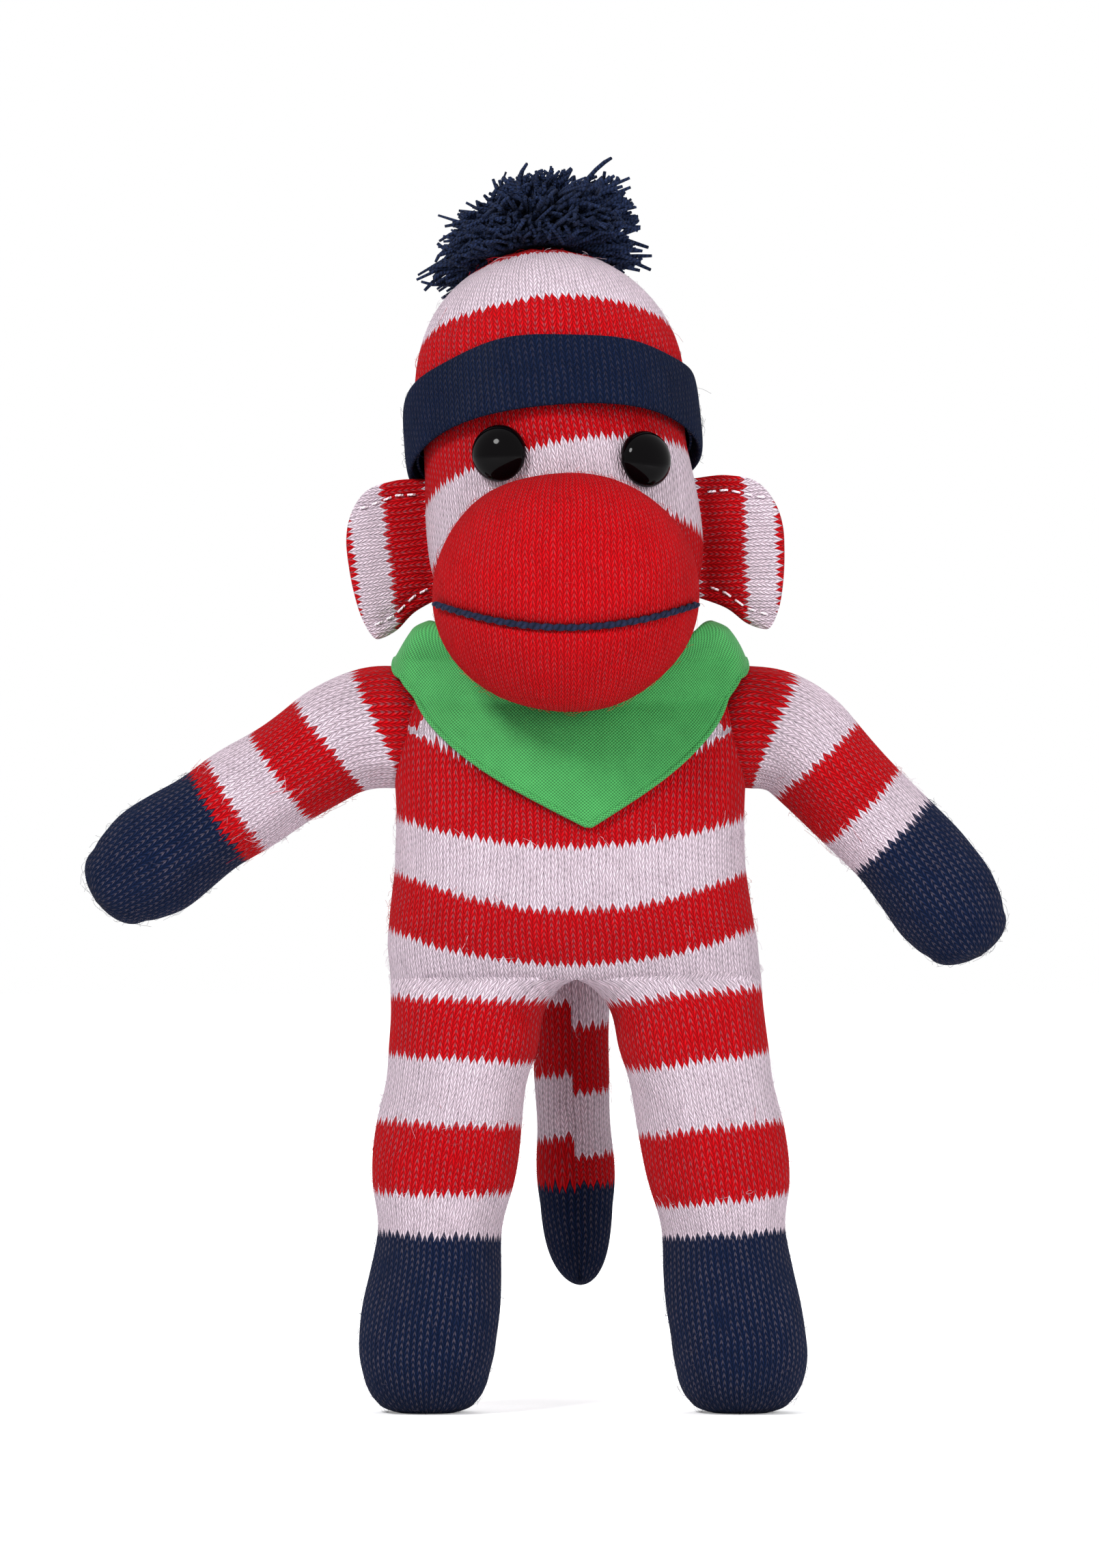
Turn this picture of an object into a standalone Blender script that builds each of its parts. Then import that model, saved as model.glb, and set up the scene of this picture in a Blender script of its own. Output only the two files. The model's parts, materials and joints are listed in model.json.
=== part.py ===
"""Sock monkey doll: knitted, stuffed pieces that are sewn together, with a knitted hat, a pompom and a bandana.

Metres, +Z up, the face looks along -Y, and left is the doll's side at -X. The doll stands on its two soles
at z = 0. Sizes are measured while the doll is built about the middle of its torso, and the last step centres
the whole doll over the origin.
"""

import math

import bmesh
import bpy
import numpy as np
from mathutils import Matrix, Vector
from mathutils.bvhtree import BVHTree

# Clearances
GAP = 0.0003
OVERRUN = 0.004

# Torso, from the flat leg seats up to the shoulders
HIP_HEIGHT = 0.0750
TORSO_HEIGHT = 0.0550
TORSO_WIDTH = 0.0622
TORSO_DEPTH = 0.0384
TORSO_SQUARENESS = 2.9
TORSO_LEVEL_SHARES = (0.0, 0.09, 0.20, 0.38, 0.58, 0.76, 0.88, 0.95, 0.985, 1.0)
TORSO_WIDTH_SHARES = (1.03, 1.03, 1.005, 0.97, 0.975, 0.985, 0.93, 0.82, 0.66, 0.46)
TORSO_DEPTH_SHARES = (0.625, 0.80, 0.94, 1.0, 0.97, 0.89, 0.72, 0.50, 0.33, 0.16)
TORSO_RINGS = 15
TORSO_RING_TURN_SHARES = (0.0, 0.5, 1.0)
TORSO_RING_LEVEL_SHARES = (0.0, 0.55, 1.0)
TORSO_SIDES = 28

# Neck: a stuffed ball on the torso that the head turns on
NECK_RADIUS = 0.0080
NECK_RISE = 0.0040
NECK_BACK = 0.0010

# Arms
ARM_LENGTH_LEFT = 0.0600
ARM_LENGTH_RIGHT = 0.0578
ARM_DROOP_LEFT = math.radians(33.0)
ARM_DROOP_RIGHT = math.radians(45.5)
ARM_BEND_LEFT = math.radians(3.0)
ARM_BEND_RIGHT = math.radians(14.0)
ARM_HEIGHT = 0.0187
ARM_DEPTH = 0.0180
ARM_ROOT_DROP = 0.0115
ARM_DOME = 0.0034
HAND_LENGTH = 0.0270
ARM_LEVEL_SHARES = (0.0, 0.10, 0.22, 0.40, 0.56, 0.70, 0.84, 0.92, 0.97, 1.0)
ARM_GIRTH_SHARES = (1.14, 1.10, 1.03, 1.0, 1.0, 1.03, 1.0, 0.82, 0.54, 0.0)
ARM_TURN_SHARE = 0.2
ARM_RINGS = 9
HAND_RINGS = 7
DOME_RINGS = 3
LIMB_SIDES = 18

# Legs and feet
LEG_WIDTH = 0.0246
LEG_DEPTH = 0.0240
LEG_SQUARENESS = 2.25
HIP_X_LEFT = -0.0164
HIP_X_RIGHT = 0.0184
FOOT_X_LEFT = -0.0248
FOOT_X_RIGHT = 0.0294
FOOT_HEIGHT = 0.0308
SOLE_CUT = 0.0005
LEG_LEVEL_SHARES = (0.0, 0.07, 0.165, 0.25, 0.34, 0.46, 0.589, 0.68, 0.75, 0.84, 0.90, 0.935, 0.965, 0.985, 1.0)
LEG_GIRTH_SHARES = (1.20, 1.08, 1.05, 1.01, 1.02, 1.01, 0.90, 0.92, 0.945, 0.94, 0.86, 0.76, 0.60, 0.42, 0.16)
LEG_LEAN_SHARES = (0.0, 0.16, 0.27, 0.40, 0.53, 0.66, 0.76, 0.83, 0.90, 0.98, 1.0, 1.0, 1.0, 1.0, 1.0)
LEG_DEPTH_SHARES = (1.0, 0.99, 0.98, 0.97, 0.97, 0.95, 0.92, 0.95, 0.97, 0.96, 0.90, 0.80, 0.64, 0.45, 0.18)
LEG_RINGS = 8
FOOT_RINGS = 9

# Tail
TAIL_WIDTH = 0.0134
TAIL_DEPTH = 0.0124
TAIL_DROP = 0.0605
TAIL_BEND = 0.0070
TAIL_SEAT_HEIGHT = 0.0130
TAIL_TIP_LENGTH = 0.0190
TAIL_SWAY = 0.0018
TAIL_LEVEL_SHARES = (0.0, 0.12, 0.30, 0.60, 0.80, 0.90, 0.96, 1.0)
TAIL_GIRTH_SHARES = (0.92, 0.98, 1.0, 1.0, 0.97, 0.80, 0.52, 0.0)
TAIL_RINGS = 10
TAIL_TIP_RINGS = 6

# Head: rings on a spine that leans back and to the left under the hat
HEAD_BOTTOM = 0.0030
HEAD_WIDTH = 0.0474
HEAD_DEPTH = 0.0448
HEAD_RISE = 0.0315
HEAD_TILT = math.radians(22.0)
HEAD_ROLL = math.radians(5.0)
HEAD_SHIFT_X = -0.0026
HEAD_FORWARD = 0.0012
HEAD_LEVEL_SHARES = (0.0, 0.10, 0.22, 0.36, 0.55, 0.78, 1.0)
HEAD_GIRTH_SHARES = (0.46, 0.76, 0.915, 0.98, 1.005, 0.995, 0.965)
HEAD_RINGS = 9
HEAD_SIDES = 26
CROWN_RADIUS_SHARE = 0.945
CUFF_HEIGHT = 0.0130
DOME_HEIGHT = 0.0246
CROWN_RINGS = 6

# Hat
CROWN_WALL = 0.0009
CUFF_WALL = 0.0015
CUFF_ROUND_SHARES = (0.0, 0.35, 0.75, 1.0, 1.0, 0.75, 0.35, 0.0)
CUFF_LEVEL_SHARES = (0.0, 0.02, 0.07, 0.18, 0.82, 0.93, 0.98, 1.0)

# Pompom
POMPOM_WIDTH = 0.0350
POMPOM_HEIGHT = 0.0250
POMPOM_LIFT = 0.0033
POMPOM_LUMP_SHARE = 0.055
POMPOM_LUMPS_ROUND = 7
POMPOM_LUMPS_UP = 4
POMPOM_RINGS = 10
POMPOM_SIDES = 28
TIE_RADIUS = 0.0024
TIE_THICKNESS = 0.0012

# Muzzle
MUZZLE_WIDTH = 0.0460
MUZZLE_HEIGHT = 0.0414
MUZZLE_BULGE = 0.0195
MUZZLE_NECK = 0.0120
MUZZLE_DROP = 0.0232
MUZZLE_FORWARD = 0.0243
MUZZLE_X = -0.0008
MUZZLE_LIFT = 0.0044
MUZZLE_FULLNESS = 0.86
MUZZLE_BACK_TURN = math.radians(62.0)
MUZZLE_FRONT_RINGS = 8
MUZZLE_BACK_RINGS = 4
YARN_RADIUS = 0.0006
MOUTH_SAG = 0.0047
MOUTH_DROP = 0.0016
MOUTH_REACH_SHARE = 0.94
MOUTH_POINTS = 25

# Eyes: safety eyes, each a domed button on a stem that a washer locks inside the head
EYE_RADIUS = 0.0049
EYE_BULGE = 0.0040
EYE_RIM = 0.0006
EYE_STEM_RADIUS = 0.0015
EYE_STEM_LENGTH = 0.0075
EYE_X_LEFT = -0.0119
EYE_X_RIGHT = 0.0123
EYE_RISE_LEFT = 0.0006
EYE_RISE_RIGHT = -0.0004
WASHER_RADIUS = 0.0045
WASHER_THICKNESS = 0.0010
WASHER_DEPTH = 0.0035
EYE_SIDES = 16
EYE_RINGS = 4

# Ears
EAR_REACH = 0.0138
EAR_HEIGHT = 0.0268
EAR_THICKNESS = 0.0046
EAR_DROP_LEFT = 0.0152
EAR_DROP_RIGHT = 0.0152
EAR_DROOP = 0.0014
EAR_BACK = 0.0010
EAR_OUTLINE_OUT_SHARES = (0.0, 0.30, 0.68, 0.92, 1.0, 0.98, 0.90, 0.74, 0.50, 0.24, 0.0)
EAR_OUTLINE_UP_SHARES = (0.46, 0.49, 0.46, 0.31, 0.10, -0.14, -0.36, -0.49, -0.46, -0.37, -0.31)
EAR_MIDDLE_SHARE = 0.55
EAR_ROOT_SHARE = 0.35
EAR_PUFF_SHARES = (1.0, 0.985, 0.93, 0.82, 0.62, 0.32)
EAR_SIDES = 26

# Bandana: a folded triangle round the neck, its point down the chest
BANDANA_WALL = 0.0012
BANDANA_COLLAR_RISE = 0.0068
BANDANA_BACK_RISE = 0.0020
BANDANA_FRONT_RISE = -0.0020
BANDANA_POINT_DROP = 0.0312
BANDANA_SIDE_DROP = 0.0004
BANDANA_COLLAR_WIDTH = 0.0518
BANDANA_COLLAR_DEPTH = 0.0460
BANDANA_NECK_DEPTH = 0.0310
BANDANA_BACK_DROP = 0.0060
BANDANA_WIDTH = 0.0558
BANDANA_STAND_OFF = 0.0009
BANDANA_POINT_X = 0.0029
BANDANA_FOLD = 0.0005
BANDANA_FOLDS = 9
BANDANA_ROWS = 7
BANDANA_SIDES = 48

# Colours and finishes
FINISHES = {
    "red_knit": ((0.52, 0.008, 0.016, 1.0), 0.9),
    "muzzle_knit": ((0.46, 0.009, 0.015, 1.0), 0.9),
    "white_knit": ((0.80, 0.74, 0.80, 1.0), 0.9),
    "navy_knit": ((0.012, 0.020, 0.055, 1.0), 0.92),
    "navy_yarn": ((0.010, 0.014, 0.034, 1.0), 0.95),
    "green_mesh": ((0.08, 0.36, 0.10, 1.0), 0.75),
    "black_plastic": ((0.004, 0.004, 0.005, 1.0), 0.08),
    "washer_plastic": ((0.70, 0.70, 0.68, 1.0), 0.45),
}


def curve_through(levels, values, at):
    """A smooth curve through a table's points: cubic pieces whose slopes come from the neighbouring points."""
    levels, values, at = (np.asarray(item, float) for item in (levels, values, at))
    steps = np.diff(levels)
    rises = np.diff(values) / steps
    inner = (rises[:-1] * steps[1:] + rises[1:] * steps[:-1]) / (steps[:-1] + steps[1:])
    inner = np.where(rises[:-1] * rises[1:] > 0, inner, 0)
    slopes = np.concatenate([rises[:1], inner, rises[-1:]])
    index = np.clip(np.searchsorted(levels, at, side="right") - 1, 0, len(steps) - 1)
    step = steps[index]
    u = (at - levels[index]) / step
    start = values[index] * (1 + 2 * u) * (1 - u) ** 2 + slopes[index] * step * u * (1 - u) ** 2
    end = values[index + 1] * u**2 * (3 - 2 * u) - slopes[index + 1] * step * u**2 * (1 - u)
    return start + end


def ring(centre, half_width, half_depth, sides, power=2.0, across=(1, 0, 0), along=(0, 1, 0)):
    """Points of a rounded oblong about a centre, in the plane of two unit directions."""
    turn = 2 * math.pi * np.arange(sides) / sides
    c, s = np.cos(turn), np.sin(turn)
    u = half_width * np.sign(c) * np.abs(c) ** (2 / power)
    v = half_depth * np.sign(s) * np.abs(s) ** (2 / power)
    return np.asarray(centre) + np.outer(u, np.asarray(across)) + np.outer(v, np.asarray(along))


def skin(name, rings, first=None, last=None, loop=False):
    """A mesh over a row of rings. Each end is a flat face, or a fan to a point where one is given."""
    shape = bmesh.new()
    rows = [[shape.verts.new(point) for point in points] for points in rings]
    pairs = list(zip(rows, rows[1:]))
    if loop:
        pairs.append((rows[-1], rows[0]))
    for low, high in pairs:
        for i in range(len(low)):
            j = (i + 1) % len(low)
            shape.faces.new((low[i], low[j], high[j], high[i]))
    ends = [] if loop else [(rows[0], first), (rows[-1], last)]
    for row, point in ends:
        if point is None:
            shape.faces.new(row)
            continue
        tip = shape.verts.new(point)
        for i in range(len(row)):
            shape.faces.new((row[i], row[(i + 1) % len(row)], tip))
    bmesh.ops.recalc_face_normals(shape, faces=shape.faces)
    mesh = bpy.data.meshes.new(name)
    shape.to_mesh(mesh)
    shape.free()
    mesh.shade_smooth()
    mesh.set_sharp_from_angle(angle=math.radians(50))
    return mesh


def finish(name):
    """One material for each finish, made the first time it is asked for."""
    if name in bpy.data.materials:
        return bpy.data.materials[name]
    colour, roughness = FINISHES[name]
    material = bpy.data.materials.new(name)
    material.use_nodes = True
    shader = material.node_tree.nodes["Principled BSDF"]
    shader.inputs["Base Color"].default_value = colour
    shader.inputs["Roughness"].default_value = roughness
    shader.inputs["Metallic"].default_value = 0
    return material


def empty(name, place, parent=None):
    """A marker that stands on a joint's axis and carries what moves with it."""
    marker = bpy.data.objects.new(name, None)
    bpy.context.collection.objects.link(marker)
    marker.empty_display_size = GAP
    marker["place"] = tuple(place)
    marker.parent = parent
    base = Vector(parent["place"]) if parent else Vector((0, 0, 0))
    marker.location = Vector(place) - base
    return marker


def piece(name, mesh, material, carrier):
    """An object for one sub-part. Its mesh is moved so that its origin lies at its carrier."""
    mesh.transform(Matrix.Translation(-Vector(carrier["place"])))
    obj = bpy.data.objects.new(name, mesh)
    bpy.context.collection.objects.link(obj)
    obj.parent = carrier
    mesh.materials.append(finish(material))
    return obj


def cut(obj, cutter_mesh, carrier, operation="DIFFERENCE"):
    """Takes a hidden shape away from an object, or joins it on."""
    material = obj.data.materials[0].name
    cutter = piece(f"{obj.name}_{cutter_mesh.name}", cutter_mesh, material, carrier)
    cutter.hide_render = True
    cutter.display_type = "WIRE"
    modifier = obj.modifiers.new(cutter_mesh.name, "BOOLEAN")
    modifier.operation = operation
    modifier.object = cutter
    return cutter


def ball(name, centre, radius, sides=LIMB_SIDES, grown=(1, 1, 1)):
    """A ball, or an egg where the directions are grown unequally."""
    turns = math.pi * (np.arange(sides // 2 - 1) + 1) / (sides // 2)
    centre = np.asarray(centre, float)
    rings = [
        ring(
            centre - (0, 0, radius * grown[2] * math.cos(t)),
            radius * grown[0] * math.sin(t),
            radius * grown[1] * math.sin(t),
            sides,
        )
        for t in turns
    ]
    pole = np.array((0, 0, radius * grown[2]))
    return skin(name, rings, centre - pole, centre + pole)


def rod(name, start, direction, length, radius, sides=EYE_SIDES):
    """A plain round bar from a point along a direction."""
    direction = Vector(direction).normalized()
    across = direction.orthogonal().normalized()
    along = direction.cross(across)
    start = Vector(start)
    ends = (start, start + direction * length)
    return skin(name, [ring(end, radius, radius, sides, 2, across, along) for end in ends])


def torso_at(level_share):
    """Height, half width and half depth of the torso at a share of its height."""
    width = curve_through(TORSO_LEVEL_SHARES, TORSO_WIDTH_SHARES, level_share)
    depth = curve_through(TORSO_LEVEL_SHARES, TORSO_DEPTH_SHARES, level_share)
    return HIP_HEIGHT + GAP + TORSO_HEIGHT * level_share, width * TORSO_WIDTH / 2, depth * TORSO_DEPTH / 2


def neck_centre():
    """Where the head turns on the torso."""
    return np.array((0, NECK_BACK, HIP_HEIGHT + TORSO_HEIGHT + NECK_RISE))


def shoulder_centre(side):
    """The middle of an arm's seat on the torso's side, on the axis that the arm swings about."""
    _, half_width, _ = torso_at(1 - ARM_ROOT_DROP / TORSO_HEIGHT)
    return np.array((side * (half_width + GAP), 0, HIP_HEIGHT + TORSO_HEIGHT - ARM_ROOT_DROP))


def arm_dome_rings(side, grow):
    """The arm's round end, which bulges into a dish in the torso: rings about the shoulder's axis."""
    centre = shoulder_centre(side)
    radius = ARM_GIRTH_SHARES[0] * ARM_HEIGHT / 2
    rings = []
    for i in range(DOME_RINGS):
        share = (i + 1) / (DOME_RINGS + 1)
        depth = ARM_DOME * (1 - share**2) + grow
        place = centre - (side * depth, 0, 0)
        squash = share * radius + grow
        rings.append(ring(place, squash, squash, LIMB_SIDES, 2, (0, 0, 1), (0, -side, 0)))
    pole = centre - (side * (ARM_DOME + grow), 0, 0)
    return rings, pole


def build_torso(root):
    """The body: a stuffed tube, flat where the legs meet it, with a dish for each arm and a ball for the neck."""
    steps = np.linspace(0, 1, TORSO_RINGS)
    shares = curve_through(TORSO_RING_TURN_SHARES, TORSO_RING_LEVEL_SHARES, steps)
    rings = []
    for share in shares:
        height, half_width, half_depth = torso_at(share)
        rings.append(ring((0, 0, height), half_width, half_depth, TORSO_SIDES, TORSO_SQUARENESS))
    torso = piece("torso", skin("torso", rings), "red_knit", root)
    for side, label in ((-1, "left_dish"), (1, "right_dish")):
        rings, pole = arm_dome_rings(side, GAP)
        radius = ARM_GIRTH_SHARES[0] * ARM_HEIGHT / 2 + GAP
        centre = shoulder_centre(side)
        for out in (0, OVERRUN):
            place = centre + (side * out, 0, 0)
            rings.append(ring(place, radius, radius, LIMB_SIDES, 2, (0, 0, 1), (0, -side, 0)))
        cut(torso, skin(label, rings, pole), root)
    cut(torso, ball("neck_ball", neck_centre(), NECK_RADIUS), root, "UNION")
    return torso


def arm_section(side, length, droop, bend, level_share):
    """Ring of an arm at a share of its length: the spine droops and bends, and the girth follows its table."""
    steps = np.linspace(0, level_share, ARM_RINGS + 1)
    angles = droop + bend * np.clip(2 * steps - 1, 0, 1)
    angles = angles * np.clip(steps / ARM_TURN_SHARE, 0, 1)
    middles = (angles[1:] + angles[:-1]) / 2
    run = length * level_share / ARM_RINGS
    centre = shoulder_centre(side)
    centre = centre + (side * run * np.cos(middles).sum(), 0, -run * np.sin(middles).sum())
    angle = angles[-1]
    up = (side * math.sin(angle), 0, math.cos(angle))
    girth = curve_through(ARM_LEVEL_SHARES, ARM_GIRTH_SHARES, level_share)
    if level_share > ARM_LEVEL_SHARES[-3]:
        reach = (level_share - ARM_LEVEL_SHARES[-3]) / (1 - ARM_LEVEL_SHARES[-3])
        girth = ARM_GIRTH_SHARES[-3] * math.sqrt(max(0, 1 - reach**2))
    depth = ARM_DEPTH if level_share > 0 else ARM_HEIGHT
    return ring(centre, girth * ARM_HEIGHT / 2, girth * depth / 2, LIMB_SIDES, 2, up, (0, -side, 0)), centre


def build_arm(root, side, label, length, droop, bend):
    """One arm: the striped sleeve of the limb and its plain hand end, which swing together."""
    carrier = empty(f"shoulder_{label}", shoulder_centre(side), root)
    hand_share = 1 - HAND_LENGTH / length
    dome, pole = arm_dome_rings(side, 0)
    shares = np.linspace(0, hand_share, ARM_RINGS)
    rings = dome + [arm_section(side, length, droop, bend, share)[0] for share in shares]
    piece(f"arm_{label}", skin(f"arm_{label}", rings, pole), "red_knit", carrier)
    start = hand_share + GAP / length
    turns = np.linspace(0, math.pi / 2, HAND_RINGS + 1)[:-1]
    shares = start + (1 - start) * np.sin(turns)
    rings = [arm_section(side, length, droop, bend, share)[0] for share in shares]
    tip = arm_section(side, length, droop, bend, 1.0)[1]
    piece(f"hand_{label}", skin(f"hand_{label}", rings, None, tip), "navy_knit", carrier)


def leg_section(hip_x, foot_x, level_share):
    """Ring of a leg at a share of the way from the hip down to its lowest point, before the sole is cut."""
    girth = curve_through(LEG_LEVEL_SHARES, LEG_GIRTH_SHARES, level_share)
    depth = curve_through(LEG_LEVEL_SHARES, LEG_DEPTH_SHARES, level_share)
    lean = curve_through(LEG_LEVEL_SHARES, LEG_LEAN_SHARES, level_share)
    height = HIP_HEIGHT - (HIP_HEIGHT + SOLE_CUT) * level_share
    centre = (hip_x + (foot_x - hip_x) * lean, 0, height)
    return ring(centre, girth * LEG_WIDTH / 2, depth * LEG_DEPTH / 2, LIMB_SIDES, LEG_SQUARENESS)


def build_leg(root, label, hip_x, foot_x):
    """One leg and its foot end, which fold forward together about the crease at the front of the hip."""
    crease = (hip_x, -LEG_DEPTH * LEG_DEPTH_SHARES[0] / 2, HIP_HEIGHT)
    carrier = empty(f"hip_{label}", crease, root)
    ankle_share = 1 - (FOOT_HEIGHT + SOLE_CUT) / (HIP_HEIGHT + SOLE_CUT)
    rings = [leg_section(hip_x, foot_x, share) for share in np.linspace(0, ankle_share, LEG_RINGS)]
    piece(f"leg_{label}", skin(f"leg_{label}", rings), "white_knit", carrier)
    start = ankle_share + GAP / HIP_HEIGHT
    end = HIP_HEIGHT / (HIP_HEIGHT + SOLE_CUT)
    turns = np.linspace(0, math.pi / 2, FOOT_RINGS)
    shares = start + (end - start) * np.sin(turns)
    rings = [leg_section(hip_x, foot_x, share) for share in shares]
    piece(f"foot_{label}", skin(f"foot_{label}", rings), "navy_knit", carrier)


def hat_axes(share=1.0):
    """Unit directions across, along and up the head's spine at a share of its lean under the hat."""
    tilt = Matrix.Rotation(-HEAD_TILT * share, 3, "X")
    turn = Matrix.Rotation(-HEAD_ROLL * share, 3, "Y") @ tilt
    return [np.array(turn @ Vector(axis)) for axis in ((1, 0, 0), (0, 1, 0), (0, 0, 1))]


def head_centre(share):
    """A point of the head's spine, from its flat underside up to the hat's brim."""
    height = HIP_HEIGHT + TORSO_HEIGHT + HEAD_BOTTOM + HEAD_RISE * share
    return np.array((HEAD_SHIFT_X * share**2, NECK_BACK - HEAD_FORWARD * share, height))


def crown_rings(grow):
    """Rings of the dome that fills the hat, from the brim to near its top, and the top point."""
    across, along, up = hat_axes()
    base = head_centre(1.0)
    half_width = HEAD_WIDTH / 2
    half_depth = HEAD_DEPTH / 2
    rings = []
    for share in np.linspace(0, 1, 3):
        girth = HEAD_GIRTH_SHARES[-1] + (CROWN_RADIUS_SHARE - HEAD_GIRTH_SHARES[-1]) * share
        place = base + up * CUFF_HEIGHT * share
        rings.append((place, girth * half_width + grow, girth * half_depth + grow))
    top = base + up * CUFF_HEIGHT
    for turn in np.linspace(0, math.pi / 2, CROWN_RINGS + 1)[1:-1]:
        place = top + up * (DOME_HEIGHT + grow) * math.sin(turn)
        girth = CROWN_RADIUS_SHARE * math.cos(turn)
        thick = grow * math.cos(turn)
        rings.append((place, girth * half_width + thick, girth * half_depth + thick))
    made = [ring(place, u, v, HEAD_SIDES, 2, across, along) for place, u, v in rings]
    return made, top + up * (DOME_HEIGHT + grow)


def head_mesh(name, grow):
    """The stuffed head, grown by a clearance where it is used to trim what sits on it."""
    rings = []
    for share in np.linspace(0, 1, HEAD_RINGS)[:-1]:
        girth = curve_through(HEAD_LEVEL_SHARES, HEAD_GIRTH_SHARES, share)
        across, along, _ = hat_axes(share)
        half_width = girth * HEAD_WIDTH / 2 + grow
        half_depth = girth * HEAD_DEPTH / 2 + grow
        rings.append(ring(head_centre(share), half_width, half_depth, HEAD_SIDES, 2, across, along))
    crown, top = crown_rings(grow)
    return skin(name, rings + crown, None, top)


def surface_tree(mesh):
    """What answers where a line meets a mesh that is still in the doll's own coordinates."""
    shape = bmesh.new()
    shape.from_mesh(mesh)
    tree = BVHTree.FromBMesh(shape)
    shape.free()
    return tree


def build_head(root):
    """The head with its neck socket, and the tree that the face's pieces are seated on."""
    carrier = empty("neck", neck_centre(), root)
    mesh = head_mesh("head", 0)
    tree = surface_tree(mesh)
    head = piece("head", mesh, "red_knit", carrier)
    cut(head, ball("neck_socket", neck_centre(), NECK_RADIUS + GAP), carrier)
    return head, carrier, tree


def build_hat(carrier):
    """The hat's thin crown, its folded cuff, the pompom on top and the yarn tie under it."""
    across, along, up = hat_axes()
    inner, inner_top = crown_rings(GAP)
    outer, outer_top = crown_rings(GAP + CROWN_WALL)
    crown = skin("hat_crown", list(reversed(inner)) + outer, inner_top, outer_top)
    piece("hat_crown", crown, "white_knit", carrier)

    base = head_centre(1.0)
    inset = GAP + CROWN_WALL + GAP
    wide, deep = HEAD_WIDTH / 2 * HEAD_GIRTH_SHARES[-1], HEAD_DEPTH / 2 * HEAD_GIRTH_SHARES[-1]
    rings = []
    for level, bulge in zip(CUFF_LEVEL_SHARES, CUFF_ROUND_SHARES):
        place = base + up * CUFF_HEIGHT * level
        thick = inset + CUFF_WALL / 2 * (1 + bulge)
        rings.append(ring(place, wide + thick, deep + thick, HEAD_SIDES, 2, across, along))
    for level, bulge in zip(reversed(CUFF_LEVEL_SHARES), reversed(CUFF_ROUND_SHARES)):
        place = base + up * CUFF_HEIGHT * level
        thick = inset + CUFF_WALL / 2 * (1 - bulge)
        rings.append(ring(place, wide + thick, deep + thick, HEAD_SIDES, 2, across, along))
    rings = rings[: len(CUFF_LEVEL_SHARES)] + rings[len(CUFF_LEVEL_SHARES) + 1 : -1]
    piece("hat_cuff", skin("hat_cuff", rings, loop=True), "navy_knit", carrier)

    tie_base = outer_top + up * GAP
    piece("pompom_tie", rod("pompom_tie", tie_base, up, TIE_THICKNESS, TIE_RADIUS), "navy_yarn", carrier)
    build_pompom(carrier, outer_top + up * POMPOM_LIFT, tie_base)


def build_pompom(carrier, centre, tie_base):
    """The pompom as one lumpy ball, hollowed where it presses on the crown and on its tie."""
    across, along, up = hat_axes()
    rings = []
    turns = math.pi * (np.arange(POMPOM_RINGS - 1) + 1) / POMPOM_RINGS
    spin = 2 * math.pi * np.arange(POMPOM_SIDES) / POMPOM_SIDES
    for turn in turns:
        lumps = 1 + POMPOM_LUMP_SHARE * np.sin(POMPOM_LUMPS_ROUND * spin) * math.sin(POMPOM_LUMPS_UP * turn)
        u = POMPOM_WIDTH / 2 * math.sin(turn) * lumps * np.cos(spin)
        v = POMPOM_WIDTH / 2 * math.sin(turn) * lumps * np.sin(spin)
        w = -POMPOM_HEIGHT / 2 * math.cos(turn) * lumps
        rings.append(centre + np.outer(u, across) + np.outer(v, along) + np.outer(w, up))
    half = up * POMPOM_HEIGHT / 2
    pompom = piece("pompom", skin("pompom", rings, centre - half, centre + half), "navy_yarn", carrier)
    rings, top = crown_rings(GAP + CROWN_WALL + GAP)
    cut(pompom, skin("crown_seat", rings, None, top), carrier)
    start = tie_base - up * OVERRUN
    cut(pompom, rod("tie_hole", start, up, OVERRUN + TIE_THICKNESS + GAP, TIE_RADIUS + GAP), carrier)


def muzzle_centre():
    """The middle of the muzzle's widest ring."""
    return np.array((MUZZLE_X, -MUZZLE_FORWARD, head_centre(1.0)[2] - MUZZLE_DROP))


def muzzle_ring(turn, sides=HEAD_SIDES):
    """A ring of the muzzle: turn is 0 at the widest, a quarter turn at the nose, and negative behind."""
    scale = math.cos(turn) ** MUZZLE_FULLNESS
    reach = MUZZLE_BULGE if turn > 0 else MUZZLE_NECK
    lift = MUZZLE_LIFT * max(0, -math.sin(turn))
    centre = muzzle_centre() + (0, -reach * math.sin(turn), lift)
    wide, high = MUZZLE_WIDTH / 2 * scale, MUZZLE_HEIGHT / 2 * scale - lift
    return ring(centre, wide, high, sides, 2, (1, 0, 0), (0, 0, 1))


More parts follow.
